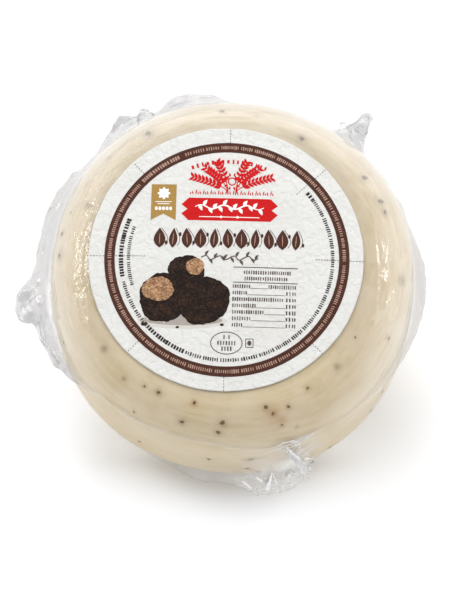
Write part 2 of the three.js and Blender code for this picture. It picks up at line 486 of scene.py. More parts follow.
def make_paper_material():
    """Off-white label paper embossed with short creases, darkened along them as painted shade."""
    material, tree, shader, place = new_material("label_paper")
    fibres = noise_at(tree, place, 900.0, 4.0, 0.65)
    creases = creases_at(tree, place, 210.0, 2.0, 0.5)
    blotches = noise_at(tree, place, 45.0, 2.0, 0.5)
    paper = mix_colours(tree, fibres.ramp(0.35, 0.7), colour(218, 218, 216), colour(225, 225, 223))
    # Darker along the creases: painted shade in the creases.
    creased = mix_colours(tree, creases.ramp(0.05, 0.0) * 0.25, paper, colour(200, 200, 198))
    aged = mix_colours(tree, blotches.ramp(0.45, 0.7) * 0.5, creased, colour(214, 213, 208))
    set_sockets(shader, Base_Color=aged, Roughness=0.7, Specular_IOR_Level=0.3)
    bumped(tree, shader, fibres * 0.3 + creases.ramp(0.0, 0.12) * 0.8, 0.0003, 0.6)
    return material


INK_GLOSS = 0.15


def make_ink_material(name, base, worn, roughness=0.55, metallic=0.0):
    """Printing ink that is a little uneven where the paper's fibres show through."""
    material, tree, shader, place = new_material(name)
    fibres = noise_at(tree, place, 1100.0, 3.0, 0.6)
    tone = mix_colours(tree, fibres.ramp(0.45, 0.8) * 0.35, base, worn)
    set_sockets(shader, Base_Color=tone, Roughness=roughness, Metallic=metallic, Specular_IOR_Level=INK_GLOSS)
    bumped(tree, shader, fibres, 0.00008, 0.3)
    return material


def make_warty_print_material():
    """Printed truffle skin: small dark warts with lighter gaps."""
    material, tree, shader, place = new_material("truffle_skin_print")
    warts = node_value(tree, "ShaderNodeTexVoronoi", "Distance", Vector=place, Scale=1700.0)
    patches = noise_at(tree, place, 240.0, 4.0, 0.65)
    dark = mix_colours(tree, patches.ramp(0.42, 0.62), colour(22, 14, 10), colour(42, 27, 20))
    gaps = warts.ramp(0.4, 0.8) * patches.ramp(0.3, 0.7, 0.3, 1.0)
    tone = mix_colours(tree, gaps, dark, colour(66, 44, 32))
    set_sockets(shader, Base_Color=tone, Roughness=0.55, Specular_IOR_Level=INK_GLOSS)
    return material


def make_marbled_print_material():
    """Printed cut face of a truffle: tan with dark veins."""
    material, tree, shader, place = new_material("truffle_cut_print")
    veins = creases_at(tree, place, 420.0, 4.0, 0.7)
    specks = noise_at(tree, place, 1400.0, 2.0, 0.5)
    tan = mix_colours(tree, specks.ramp(0.4, 0.65), colour(158, 118, 86), colour(196, 158, 122))
    tone = mix_colours(tree, veins.ramp(0.045, 0.01) * 0.75, tan, colour(92, 62, 44))
    set_sockets(shader, Base_Color=tone, Roughness=0.55, Specular_IOR_Level=INK_GLOSS)
    return material


CHEESE = make_cheese_material()
TRUFFLE = make_truffle_material()
FILM = make_film_material()
PAPER = make_paper_material()
BROWN_INK = make_ink_material("brown_ink", colour(72, 42, 32), colour(98, 65, 53))
BLACK_INK = make_ink_material("black_ink", colour(42, 36, 34), colour(90, 84, 80))
GREY_INK = make_ink_material("grey_ink", colour(112, 108, 106), colour(154, 150, 146))
SLATE_INK = make_ink_material("slate_ink", colour(84, 72, 68), colour(132, 122, 118))
SHADOW_INK = make_ink_material("shadow_ink", colour(166, 157, 151), colour(196, 187, 181))
PALE_SHADOW_INK = make_ink_material("pale_shadow_ink", colour(207, 203, 198), colour(223, 219, 215))
DARK_INK = make_ink_material("dark_ink", colour(24, 17, 15), colour(36, 26, 22))
RED_INK = make_ink_material("red_ink", colour(196, 16, 20), colour(206, 42, 38))
GOLD_INK = make_ink_material("gold_ink", colour(164, 131, 70), colour(190, 158, 98), 0.5, 0.1)
BEIGE_INK = make_ink_material("beige_ink", colour(176, 142, 127), colour(142, 107, 94))
WHITE_INK = make_ink_material("white_ink", colour(246, 244, 240), colour(234, 228, 220))
SKIN_PRINT = make_warty_print_material()
CUT_PRINT = make_marbled_print_material()


# The cheese wheel, by Geometry Nodes

CHEESE_INSET = 0.35
CHEESE_UNEVENNESS = 0.5
CHEESE_COLUMNS = 420
CHEESE_ROWS = 160
SIDE_ROW_SHARE = 0.68


def new_geometry_tree(name, numbers, counts):
    """A Geometry Nodes tree with named inputs: the tree, its input wires by name and its output socket."""
    tree = bpy.data.node_groups.new(name, "GeometryNodeTree")
    sockets = [("Geometry", "NodeSocketGeometry")]
    sockets += [(label, "NodeSocketFloat") for label in numbers]
    sockets += [(label, "NodeSocketInt") for label in counts]
    sockets += [("Material", "NodeSocketMaterial")]
    for label, kind in sockets:
        tree.interface.new_socket(label, in_out="INPUT", socket_type=kind)
    tree.interface.new_socket("Geometry", in_out="OUTPUT", socket_type="NodeSocketGeometry")
    entry = tree.nodes.new("NodeGroupInput")
    leave = tree.nodes.new("NodeGroupOutput")
    wires = {socket.name: Wire(tree, socket) for socket in entry.outputs if socket.name}
    return tree, wires, leave.inputs[0]


def end_tree(tree, shape, material, leave):
    """Ends a tree in Realize Instances and Set Material."""
    real = node_value(tree, "GeometryNodeRealizeInstances", Geometry=shape)
    dressed = node_value(tree, "GeometryNodeSetMaterial", Geometry=real, Material=material)
    tree.links.new(dressed.socket, leave)


def run_tree(piece, tree, values):
    """Runs a tree on a piece, with its inputs set, and puts the result in its place as a plain mesh."""
    modifier = piece.modifiers.new(tree.name, "NODES")
    modifier.node_group = tree
    for item in tree.interface.items_tree:
        if item.item_type == "SOCKET" and item.in_out == "INPUT" and item.name in values:
            modifier[item.identifier] = values[item.name]
    bpy.context.view_layer.update()
    graph = bpy.context.evaluated_depsgraph_get()
    name = piece.name
    made = bpy.data.meshes.new_from_object(piece.evaluated_get(graph))
    made.name = name
    bpy.data.objects.remove(piece)
    result = bpy.data.objects.new(name, made)
    link(result)
    return result


def wheel_tree():
    """A closed ball of rows and columns, moved onto the wheel's section and pulled in under the film."""
    numbers = [
        "Radius", "Height", "Widest height", "Crown", "Base share", "Top share",
        "Lower fullness", "Upper fullness", "Inset", "Unevenness",
    ]
    tree, size, leave = new_geometry_tree("cheese_wheel_form", numbers, ["Columns", "Rows"])
    ball = node_value(
        tree, "GeometryNodeMeshUVSphere", Segments=size["Columns"], Rings=size["Rows"], Radius=1.0,
    )
    x, y, z = node_value(tree, "GeometryNodeInputPosition").parts()
    angle = y.math("ARCTAN2", x)
    level = z.math("MAXIMUM", -1.0).math("MINIMUM", 1.0).math("ARCSINE") / (math.pi / 2)
    from_widest = level.math("ABSOLUTE")
    above = level.math("GREATER_THAN", 0.0)
    on_side = (from_widest / SIDE_ROW_SHARE).math("MINIMUM", 1.0) * (math.pi / 2)
    on_flat = ((from_widest - SIDE_ROW_SHARE) / (1 - SIDE_ROW_SHARE)).math("MAXIMUM", 0.0)
    to_axis = 1.0 - on_flat
    out = on_side.math("COSINE").math("MAXIMUM", 0.0)
    along = on_side.math("SINE").math("MAXIMUM", 0.0)

    def section(flat_share, fullness):
        power = (fullness**-1.0) * 2.0
        flat = size["Radius"] * flat_share
        return flat * to_axis + (size["Radius"] - flat) * (out**power), along**power

    low_radius, low_share = section(size["Base share"], size["Lower fullness"])
    high_radius, high_share = section(size["Top share"], size["Upper fullness"])
    rise = size["Height"] - size["Crown"] - size["Widest height"]
    low_height = size["Widest height"] * (1.0 - low_share)
    high_height = size["Widest height"] + rise * high_share + size["Crown"] * (1.0 - to_axis * to_axis)
    radius = low_radius + (high_radius - low_radius) * above
    height = low_height + (high_height - low_height) * above
    for count, reach, peak in OUT_OF_ROUND:
        radius = radius + (angle * count - math.radians(count * peak)).math("COSINE") * (reach * MM) * to_axis
    section_place = joined(tree, angle.math("COSINE") * radius, angle.math("SINE") * radius, height)
    turned = node_value(tree, "GeometryNodeSetPosition", Geometry=ball, Position=section_place)
    outward = node_value(tree, "GeometryNodeInputNormal")
    uneven = node_value(tree, "ShaderNodeTexNoise", Scale=38.0, Detail=2.0) - 0.5
    pull = outward.scaled(uneven * size["Unevenness"] - size["Inset"])
    sunk = node_value(tree, "GeometryNodeSetPosition", Geometry=turned, Offset=pull)
    smoothed = node_value(tree, "GeometryNodeSetShadeSmooth", Geometry=sunk, Shade_Smooth=True)
    end_tree(tree, smoothed, size["Material"], leave)
    return tree


def make_cheese():
    seed = make_piece("cheese_wheel", [(0, 0, 0)], [], CHEESE)
    values = {
        "Radius": WHEEL_RADIUS * MM, "Height": WHEEL_HEIGHT * MM, "Widest height": WIDEST_HEIGHT * MM,
        "Crown": TOP_CROWN * MM, "Base share": BASE_SHARE, "Top share": TOP_SHARE,
        "Lower fullness": LOWER_FULLNESS, "Upper fullness": UPPER_FULLNESS,
        "Inset": CHEESE_INSET * MM, "Unevenness": CHEESE_UNEVENNESS * MM,
        "Columns": CHEESE_COLUMNS, "Rows": CHEESE_ROWS, "Material": CHEESE,
    }
    return run_tree(seed, wheel_tree(), values)


# Truffle in the cheese. On the top: angle, radius and length. On the side: angle, height and length.
TOP_FLECKS = [
    (122, 58.2, 3.0), (94, 59.6, 2.2), (62, 54.3, 2.8), (34, 58.4, 2.6), (-118.5, 56.1, 2.2),
    (-104.5, 55.2, 1.5), (-60.5, 53.7, 1.4), (-77.7, 55.7, 1.9), (-69.7, 57.4, 1.6), (-93.4, 60.5, 2.3),
    (-25.8, 63.0, 1.6), (23.7, 59.4, 3.0), (19.5, 59.3, 2.2), (138.2, 60.8, 1.2), (81, 58.3, 1.1),
    (-124, 56.7, 1.1), (-73.6, 62.5, 1.1), (-75.6, 58.5, 1.3), (-32.9, 52.3, 0.8),
]
SIDE_FLECKS = [
    (-94.8, 66.7, 2.2), (-97.4, 43.0, 1.8), (-84, 45.4, 3.2), (-85.2, 31.1, 2.0), (-81.8, 21.0, 2.6),
    (-35.8, 39.5, 2.4), (-41.1, 30.4, 1.8), (-67.7, 46.7, 1.2), (-57.8, 24.4, 1.9), (-123.2, 63.6, 1.1),
    (-120.6, 35.5, 1.6), (-68.9, 65.8, 1.1), (160.8, 66.8, 1.1), (-157.4, 55.7, 1.6), (-107.1, 68.1, 2.3),
    (168.3, 64.7, 2.0), (176, 65.2, 2.8),
]
# Truffle that lies just under the surface and shows as a soft grey spot: angle, radius, height and width
SUNK_TRUFFLE = [
    (157.5, 57.3, 71.7, 3.2), (23.7, 59.4, 70.6, 3.4), (19.5, 59.3, 70.7, 3.0), (-5.2, 62.3, 68.2, 4.4),
    (-144.7, 56.7, 71.9, 3.0), (-46.4, 54.3, 72.5, 3.0), (-107.1, 62.4, 68.1, 3.6), (-84.8, 68.2, 44.5, 4.6),
    (176, 64.4, 65.2, 4.4), (173.3, 54.6, 72.5, 2.2), (168.3, 64.7, 64.7, 3.4), (-131.9, 58.7, 71.0, 2.2),
    (-93.4, 60.5, 69.9, 3.6), (62.3, 54.3, 72.5, 3.4), (122, 58.2, 71.3, 3.6), (34, 58.4, 71.2, 3.2),
]
SUNK_STRENGTH = 0.62
# Warm stains round some pieces: the same
RUST_STAINS = [
    (-104.5, 55.2, 72.4, 2.6), (-73.6, 61.0, 69.6, 4.6), (-75.6, 58.5, 71.2, 5.5), (-84, 67.4, 30, 4.0),
    (-81.8, 65.5, 21, 7.0), (-67.7, 67.8, 46.7, 3.0), (-118.5, 56.1, 72.2, 2.2), (150, 62, 68.5, 3.0),
]
STAIN_STRENGTH = 0.5
# The soft grey ring round each shown fleck: how much wider it is than the fleck is long
HALO_SPREAD = 1.7
HALO_STRENGTH = 0.4
# On the sides that the photograph doesn't show, the pieces are scattered: how many, how near the base and the
# top, how short and by how much longer, and how far they are turned away from the shown side
MORE_FLECKS = 150
SCATTER_REACH = 0.95
SHORTEST_FLECK = 0.7
FLECK_SPREAD = 2.2
SHOWN_FROM = np.array([0.0, -0.286, 0.958])
HIDDEN_UNDER = 0.04
# How deep a fleck's middle sits, its size against the length given above, its thickness and its roughness
FLECK_DEPTH = 0.5
FLECK_SIZE = 0.85
FLECK_THICKNESS = 0.7
FLECK_ROUGHNESS = 1.2
# The least and the most of its width against its length
NARROWEST = 0.45
WIDEST = 0.95


def side_point(share, angle):
    radius, height = upper_side(share, angle) if share >= 0 else lower_side(-share, angle)
    return around(radius, angle, height)


def outward_at(share, angle):
    step = 0.01
    up = side_point(min(share + step, 1), angle) - side_point(max(share - step, -1), angle)
    along = np.array([-math.sin(math.radians(angle)), math.cos(math.radians(angle)), 0])
    outward = np.cross(along, up)
    return outward / np.linalg.norm(outward)


def share_of_radius(radius):
    out = (radius - WHEEL_RADIUS * TOP_SHARE) / (WHEEL_RADIUS * (1 - TOP_SHARE))
    return math.acos(min(max(out, 0), 1) ** (UPPER_FULLNESS / 2)) * 2 / math.pi


def fleck_places():
    """Where each fleck sits: its point, its outward direction and its length. The shown ones come first."""
    rng = random.Random(7)
    wanted = [(angle, share_of_radius(radius), size) for angle, radius, size in TOP_FLECKS]
    for angle, height, size in SIDE_FLECKS:
        share = share_at_height(height) if height >= WIDEST_HEIGHT else -share_below(height)
        wanted.append((angle, float(share), size))
    while len(wanted) < len(TOP_FLECKS) + len(SIDE_FLECKS) + MORE_FLECKS:
        angle = rng.uniform(-180, 180)
        share = rng.uniform(-SCATTER_REACH, SCATTER_REACH)
        size = SHORTEST_FLECK + FLECK_SPREAD * rng.random() ** 2.2
        if outward_at(share, angle) @ SHOWN_FROM < HIDDEN_UNDER:
            wanted.append((angle, share, size))
    return [(side_point(share, angle), outward_at(share, angle), size) for angle, share, size in wanted]


def named(tree, name, data_type="FLOAT"):
    """A value that a mesh stores under a name, read in a Geometry Nodes tree."""
    node = tree.nodes.new("GeometryNodeInputNamedAttribute")
    node.data_type = data_type
    node.inputs["Name"].default_value = name
    return Wire(tree, node.outputs[0])


# The places of the plain number's sockets of a Random Value node, which has sockets for every kind of value
RANDOM_LOW = 2
RANDOM_HIGH = 3
RANDOM_RESULT = 1


def random_value(tree, low, high, seed):
    node = tree.nodes.new("FunctionNodeRandomValue")
    node.data_type = "FLOAT"
    node.inputs[RANDOM_LOW].default_value = low
    node.inputs[RANDOM_HIGH].default_value = high
    plug(tree, seed, node.inputs["Seed"])
    return Wire(tree, node.outputs[RANDOM_RESULT])


FULL_TURN = 6.283


def fleck_tree():
    """Sets an uneven flat lump on each point, turned the way that the point says and as long as it says."""
    tree, size, leave = new_geometry_tree("truffle_fleck_scatter", ["Thickness", "Roughness"], ["Seed"])
    lump = node_value(tree, "GeometryNodeMeshIcoSphere", Radius=0.5, Subdivisions=3)
    outward = named(tree, "outward", "FLOAT_VECTOR")
    length = named(tree, "length")
    stand = node_value(tree, "FunctionNodeAlignRotationToVector", Vector=outward)
    stand.socket.node.axis = "Z"
    spin = joined(tree, 0.0, 0.0, random_value(tree, 0.0, FULL_TURN, size["Seed"]))
    turn = tree.nodes.new("FunctionNodeEulerToRotation")
    plug(tree, spin, turn.inputs[0])
    local = node_value(
        tree, "FunctionNodeRotateRotation", Rotation=stand, Rotate_By=Wire(tree, turn.outputs[0]),
    )
    local.socket.node.rotation_space = "LOCAL"
    narrow = random_value(tree, NARROWEST, WIDEST, size["Seed"] + 3)
    scale = joined(tree, length, length * narrow, size["Thickness"])
    points = node_value(
        tree, "GeometryNodeInstanceOnPoints",
        Points=size["Geometry"], Instance=lump, Rotation=local, Scale=scale,
    )
    real = node_value(tree, "GeometryNodeRealizeInstances", Geometry=points)
    where = node_value(tree, "GeometryNodeInputPosition")
    shift = node_value(tree, "ShaderNodeTexNoise", "Color", Vector=where, Scale=1400.0, Detail=2.0)
    push = shift.vector_math("SUBTRACT", (0.5, 0.5, 0.5)).scaled(size["Roughness"])
    rough = node_value(tree, "GeometryNodeSetPosition", Geometry=real, Offset=push)
    end_tree(tree, rough, size["Material"], leave)
    return tree


def make_flecks(places):
    points = [point - outward * FLECK_DEPTH for point, outward, size in places]
    seed = make_piece("truffle_flecks", points, [], TRUFFLE)
    write_level(seed, "length", np.array([size * FLECK_SIZE * MM for point, outward, size in places]))
    outwards = seed.data.attributes.new("outward", "FLOAT_VECTOR", "POINT")
    outwards.data.foreach_set("vector", np.concatenate([outward for point, outward, size in places]))
    values = {
        "Thickness": FLECK_THICKNESS * MM, "Roughness": FLECK_ROUGHNESS * MM, "Seed": 11, "Material": TRUFFLE,
    }
    return run_tree(seed, fleck_tree(), values)


def soft_spots(spots, strength):
    """Spots from their angle, radius, height and width, all of one strength."""
    return [(around(radius, angle, height), width, strength) for angle, radius, height, width in spots]


def shade_spots(cheese, name, spots):
    """Stores how strongly uneven soft spots shade the cheese: the middle, width and strength of each."""
    places = corners_of(cheese)
    shade = np.zeros(len(places))
    for spot, width, strength in spots:
        uneven = 1 + 0.35 * waves(places, 1.6, width)
        far = np.linalg.norm(places - spot, axis=1) * uneven
        shade = np.maximum(shade, strength * np.exp(-((far / (width * 0.5)) ** 2)))
    write_level(cheese, name, shade)


all_flecks = fleck_places()
shown_flecks = all_flecks[:len(TOP_FLECKS) + len(SIDE_FLECKS)]
halos = [(point, size * HALO_SPREAD, HALO_STRENGTH) for point, outward, size in shown_flecks]
cheese = make_cheese()
shade_spots(cheese, "sunk_truffle", soft_spots(SUNK_TRUFFLE, SUNK_STRENGTH) + halos)
shade_spots(cheese, "rust_stain", soft_spots(RUST_STAINS, STAIN_STRENGTH))
finish_piece(cheese, "cheese", "film_wrapped_wheel")
finish_piece(make_flecks(all_flecks), "cheese", "film_wrapped_wheel")


# The paper label

LABEL_GRID = 220
PAPER_RELIEF = 0.06
# How much the label's cut edge wavers, as a share of its radius
EDGE_WAVER = 0.004
INK_HEIGHT = 0.06
INK_DEPTH = 0.05
# How much higher ink lies that is printed over other ink
RAISED = 0.05


def finish_print(piece):
    finish_piece(piece, "label_paper", "paper_label")


def paper_relief(x, y):
    """The paper's embossed fibres: ridges a millimetre or two apart."""
    places = np.stack(np.broadcast_arrays(x, y, 0 * x), axis=-1)
    coarse = 1 - 2.4 * np.abs(waves(places, 2.3, 5.3))
    fine = waves(places, 1.1, 9.1)
    return PAPER_RELIEF * (0.7 * coarse + 0.4 * fine)


def paper_height(x, y):
    """The height of the paper's printed face over a place in the wheel's frame."""
    return top_height(np.hypot(x, y)) + LABEL_GAP + LABEL_THICKNESS + paper_relief(x, y)


def round_grid(count):
    """A square grid of points bent evenly into a disc of radius 1."""
    side = np.linspace(-1, 1, count)
    across, up = np.meshgrid(side, side)
    wide = np.abs(across) >= np.abs(up)
    with np.errstate(divide="ignore", invalid="ignore"):
        turn = np.where(wide, math.pi / 4 * up / across, math.pi / 2 - math.pi / 4 * across / up)
    turn = np.nan_to_num(turn)
    radius = np.where(wide, across, up)
    return radius * np.cos(turn), radius * np.sin(turn)


def closed_slab(top, bottom, faces):
    """Points and faces of a closed slab from the points and faces of its top and the points of its bottom."""
    count = len(top)
    ways = dict.fromkeys(way for face in faces for way in zip(face, face[1:] + face[:1]))
    walls = [[b, a, a + count, b + count] for a, b in ways if (b, a) not in ways]
    lower = [[index + count for index in face] for face in reversed_faces(faces)]
    return np.concatenate([top, bottom]), faces + walls + lower


def make_label():
    unit_x, unit_y = round_grid(LABEL_GRID)
    rim = around(1.0, np.degrees(np.arctan2(unit_y, unit_x)), 0.0) * 9
    ragged = 1 + EDGE_WAVER * waves(rim, 1.6, 2.2) * np.hypot(unit_x, unit_y) ** 8
    x = LABEL_X + unit_x * LABEL_RADIUS * ragged
    y = LABEL_Y + unit_y * LABEL_RADIUS * ragged
    top = np.stack([x, y, paper_height(x, y)], axis=-1).reshape(-1, 3)
    base = np.stack([x, y, top_height(np.hypot(x, y)) + LABEL_GAP], axis=-1).reshape(-1, 3)
    points, faces = closed_slab(top, base, grid_faces(LABEL_GRID, LABEL_GRID, False))
    return make_piece("paper_label_sheet", points, faces, PAPER)


finish_print(make_label())


# Print: flat shapes in the print's own frame, laid on the paper as thin closed slabs


def print_to_wheel(points):
    """Print frame to wheel frame: turned with the label and moved to its place."""
    turn = math.radians(PRINT_TURN)
    x, y = np.asarray(points, float).T
    cos, sin = math.cos(turn), math.sin(turn)
    return PRINT_X + x * cos - y * sin, PRINT_Y + x * sin + y * cos


def lay_slab(name, points, faces, material, lift=0.0):
    """A flat mesh in the print frame as a closed slab of ink that follows the paper."""
    x, y = print_to_wheel(points)
    surface = paper_height(x, y)
    top = np.stack([x, y, surface + INK_HEIGHT + lift], axis=-1)
    bottom = np.stack([x, y, surface - INK_DEPTH], axis=-1)
    points, faces = closed_slab(top, bottom, faces)
    finish_print(make_piece(name, points, faces, material, False))


# The least room between an inner point and its outline, against the spacing
CLEARANCE = 0.4
MERGE_WITHIN = 1e-5


def filled(outlines, step):
    """Points and triangles that fill closed outlines, with inner points to let the fill follow the paper."""
    points = []
    edges = []
    outlines = [closely_spaced(outline, step) for outline in outlines]
    for outline in outlines:
        start = len(points)
        points += [tuple(map(float, place)) for place in outline]
        edges += [(start + i, start + (i + 1) % len(outline)) for i in range(len(outline))]
    places = np.array(points)
    (left, low), (right, high) = places.min(0), places.max(0)
    for x in np.arange(left + step / 2, right, step):
        for y in np.arange(low + step / 2, high, step):
            nearest = np.min(np.hypot(places[:, 0] - x, places[:, 1] - y))
            if nearest > step * CLEARANCE and inside((x, y), outlines):
                points.append((x, y))
    found = geometry.delaunay_2d_cdt([Vector(place) for place in points], edges, [], 0, MERGE_WITHIN)
    vertices = np.array([tuple(place) for place in found[0]])
    faces = []
    for face in found[2]:
        if inside(vertices[list(face)].mean(0), outlines):
            a, b, c = (vertices[index] for index in face[:3])
            clockwise = (b[0] - a[0]) * (c[1] - a[1]) < (b[1] - a[1]) * (c[0] - a[0])
            faces.append(list(reversed(face)) if clockwise else list(face))
    return vertices, faces


def closely_spaced(outline, step):
    """An outline with its long sides split, so that they follow the paper too."""
    split = []
    for here, after in zip(outline, list(outline[1:]) + list(outline[:1])):
        count = max(1, math.ceil(math.dist(here, after) / step))
        split += [tuple(np.add(here, np.subtract(after, here) * part / count)) for part in range(count)]
    return split


def inside(place, outlines):
    """Whether a place lies inside an odd number of outlines."""
    x, y = place
    crossings = 0
    for outline in outlines:
        ring = np.asarray(outline, float)
        after = np.roll(ring, -1, axis=0)
        spans = (ring[:, 1] > y) != (after[:, 1] > y)
        with np.errstate(divide="ignore", invalid="ignore"):
            cut = ring[:, 0] + (y - ring[:, 1]) * (after[:, 0] - ring[:, 0]) / (after[:, 1] - ring[:, 1])
        crossings += int(np.sum(spans & (x < cut)))
    return crossings % 2 == 1


def lay_art(name, shapes, material, lift=0.0, step=1.2):
    """Filled shapes as one thin piece of print on the label. A shape is a list of outlines."""
    points = []
    faces = []
    for outlines in shapes:
        made, cut = filled(outlines, step)
        faces += [[index + len(points) for index in face] for face in cut]
        points += made.tolist()
    lay_slab(name, np.array(points), faces, material, lift)


RING_ROWS = [40.7, 41.1, 41.7, 42.3, 42.9, 43.5, 44.1, 44.5]
RING_SIDES = 720


def make_ring_band():
    """The brown band round the label."""
    turn = np.linspace(0, 2 * math.pi, RING_SIDES, endpoint=False)
    points = np.stack([np.outer(RING_ROWS, np.cos(turn)), np.outer(RING_ROWS, np.sin(turn))], axis=-1)
    faces = reversed_faces(grid_faces(len(RING_ROWS), RING_SIDES, True))
    lay_slab("ring_print", points.reshape(-1, 2), faces, BROWN_INK)


# Rows of small marks along lines, by Geometry Nodes


def marks_tree():
    """Sets small flat blocks along curves: their pitch, width and height, and how much they vary."""
    numbers = ["Pitch", "Width", "Height", "Thickness", "Width variation", "Height variation"]
    tree, size, leave = new_geometry_tree("small_marks", numbers, ["Seed"])
    points = tree.nodes.new("GeometryNodeCurveToPoints")
    points.mode = "LENGTH"
    plug(tree, size["Geometry"], points.inputs["Curve"])
    plug(tree, size["Pitch"], points.inputs["Length"])
    tangent = Wire(tree, points.outputs["Tangent"])
    turned = node_value(tree, "FunctionNodeAlignRotationToVector", Vector=tangent)
    turned.socket.node.axis = "X"
    turned.socket.node.pivot_axis = "Z"
    block = node_value(tree, "GeometryNodeMeshCube", Size=(1.0, 1.0, 1.0))
    wide = random_value(tree, -1.0, 1.0, size["Seed"]) * size["Width variation"] + 1.0
    tall = random_value(tree, -1.0, 1.0, size["Seed"] + 5) * size["Height variation"] + 1.0
    scale = joined(tree, size["Width"] * wide, size["Height"] * tall, size["Thickness"])
    marks = node_value(
        tree, "GeometryNodeInstanceOnPoints", Points=Wire(tree, points.outputs["Points"]),
        Instance=block, Rotation=turned, Scale=scale,
    )
    end_tree(tree, marks, size["Material"], leave)
    return tree


MARKS = marks_tree()


def make_marks(name, lines, material, pitch, width, height, seed, vary, lift=0.0):
    """Rows of small blocks along lines in the print frame, laid on the paper."""
    curve = bpy.data.curves.new(name, "CURVE")
    curve.dimensions = "3D"
    for line in lines:
        spline = curve.splines.new("POLY")
        spline.points.add(len(line) - 1)
        for point, (x, y) in zip(spline.points, line):
            point.co = (x * MM, y * MM, 0, 1)
    piece = bpy.data.objects.new(name, curve)
    link(piece)
    values = {
        "Pitch": pitch * MM, "Width": width * MM, "Height": height * MM,
        "Thickness": (INK_HEIGHT + INK_DEPTH) * MM, "Width variation": vary[0], "Height variation": vary[1],
        "Seed": seed, "Material": material,
    }
    made = run_tree(piece, MARKS, values)
    corners = corners_of(made)
    x, y = print_to_wheel(corners[:, :2])
    level = paper_height(x, y) + corners[:, 2] + (INK_HEIGHT - INK_DEPTH) / 2 + lift
    made.data.vertices.foreach_set("co", (np.stack([x, y, level], axis=-1) * MM).ravel())
    made.data.update()
    finish_print(made)


def arc(radius, start, end):
    """Points along an arc round the label's middle, every degree or so."""
    count = max(2, int(abs(end - start) / 1.5) + 1)
    turns = np.radians(np.linspace(start, end, count))
    return np.stack([radius * np.cos(turns), radius * np.sin(turns)], axis=-1)


def straight(start, end, y):
    return [(start, y), (end, y)]


def spoke(angle, inner, outer):
    turn = math.radians(angle)
    return [(radius * math.cos(turn), radius * math.sin(turn)) for radius in (inner, outer)]


PERFORATION_ANGLES = (0, 44.8, 89.7, 134.3, 180, 225.8, 270, -44.8)


def make_perforations():
    lines = [spoke(angle, 44.8, 49.4) for angle in PERFORATION_ANGLES]
    lines += [straight(-40.2, -29.9, 0), straight(32.5, 40.2, 0), spoke(45, 35.5, 40.2)]
    make_marks("tear_marks", lines, GREY_INK, 0.95, 0.6, 0.26, 3, (0.1, 0.1))


def word_arcs(radius, start, end, seed, long=6.0, gap=1.3):
    """An arc split into pieces as long as words, in degrees from start to end."""
    rng = random.Random(seed)
    per_mm = 180 / math.pi / radius
    found = []
    at = start
    while at < end - 1.5 * per_mm:
        stop = min(at + rng.uniform(0.4, 1.5) * long * per_mm, end)
        found.append(arc(radius, at, stop))
        at = stop + gap * per_mm
    return found


OUTER_ROW = 38.4
INNER_ROW = 35.7
RING_ROW = 42.6
# Rows of small blocks where a label carries its small print: a name, radius, where each row starts and ends
# in degrees, the seed of its words, the ink, the blocks' pitch, width, height and seed, how they vary and
# their lift
SMALL_PRINT = [
    ("small_print_bold", OUTER_ROW, [(159, 194), (222, 247), (397, 401)], 1,
     BLACK_INK, 0.92, 0.78, 1.5, 21, (0.2, 0.12), 0),
    ("small_print_plain", OUTER_ROW, [(195, 221), (249, 372), (374, 396)], 2,
     BLACK_INK, 0.8, 0.46, 1.25, 22, (0.3, 0.2), 0),
    ("small_print_light", INNER_ROW, [(162, 198)], 3, BLACK_INK, 0.74, 0.4, 1.1, 23, (0.3, 0.2), 0),
    ("ring_marks", RING_ROW, [(0, 112), (140, 359)], 4, BEIGE_INK, 0.74, 0.4, 1.2, 24, (0.3, 0.2), RAISED),
    ("ring_marks_bold", RING_ROW, [(116, 137)], 5, BEIGE_INK, 0.9, 0.66, 1.4, 25, (0.2, 0.1), RAISED),
]


def make_small_print():
    for name, radius, spans, word_seed, *look in SMALL_PRINT:
        words = [word for start, end in spans for word in word_arcs(radius, start, end, word_seed + start)]
        make_marks(name, words, *look)


# Shapes of the artwork, as outlines in the print frame


def leaf(x, y, length, width, turn, bend=0.0):
    """A pointed leaf from its foot at x, y, with turn in degrees from +X and a bend to one side."""
    way = math.radians(turn)
    outline = []
    for side in (1, -1):
        for share in np.linspace(0, 1, 9)[:-1]:
            along = share if side > 0 else 1 - share
            swell = side * width / 2 * math.sin(math.pi * along ** 0.8)
            out = swell + bend * length * math.sin(math.pi * along)
            ahead = along * length
            outline.append((
                x + ahead * math.cos(way) - out * math.sin(way),
                y + ahead * math.sin(way) + out * math.cos(way),
            ))
    return outline


def thick_line(points, width, taper=0.0):
    """The outline of a line of a width that narrows towards its ends by a share."""
    places = np.asarray(points, float)
    along = np.gradient(places, axis=0)
    along /= np.linalg.norm(along, axis=1, keepdims=True)
    half = width / 2 * (1 - taper * np.abs(np.linspace(-1, 1, len(places))) ** 2)
    side = np.stack([-along[:, 1], along[:, 0]], axis=-1) * half[:, None]
    return np.concatenate([places - side, (places + side)[::-1]]).tolist()


def wave_line(start, end, y, height, turns, lean=0.0):
    share = np.linspace(0, 1, int(turns * 14))
    rise = height / 2 * np.sin(2 * math.pi * turns * share)
    return np.stack([start + (end - start) * share + lean * rise, y + rise], axis=-1)


def ellipse(x, y, half_width, half_height, sides=40):
    turns = [2 * math.pi * i / sides for i in range(sides)]
    return [(x + half_width * math.cos(turn), y + half_height * math.sin(turn)) for turn in turns]


def ring_shape(x, y, half_width, half_height, line):
    inner = ellipse(x, y, half_width - line, half_height - line)
    return [ellipse(x, y, half_width, half_height), inner[::-1]]


def flower(x, y, radius, petals):
    return [[leaf(x, y, radius, radius * 0.62, 360 / petals * i + 90)] for i in range(petals)]


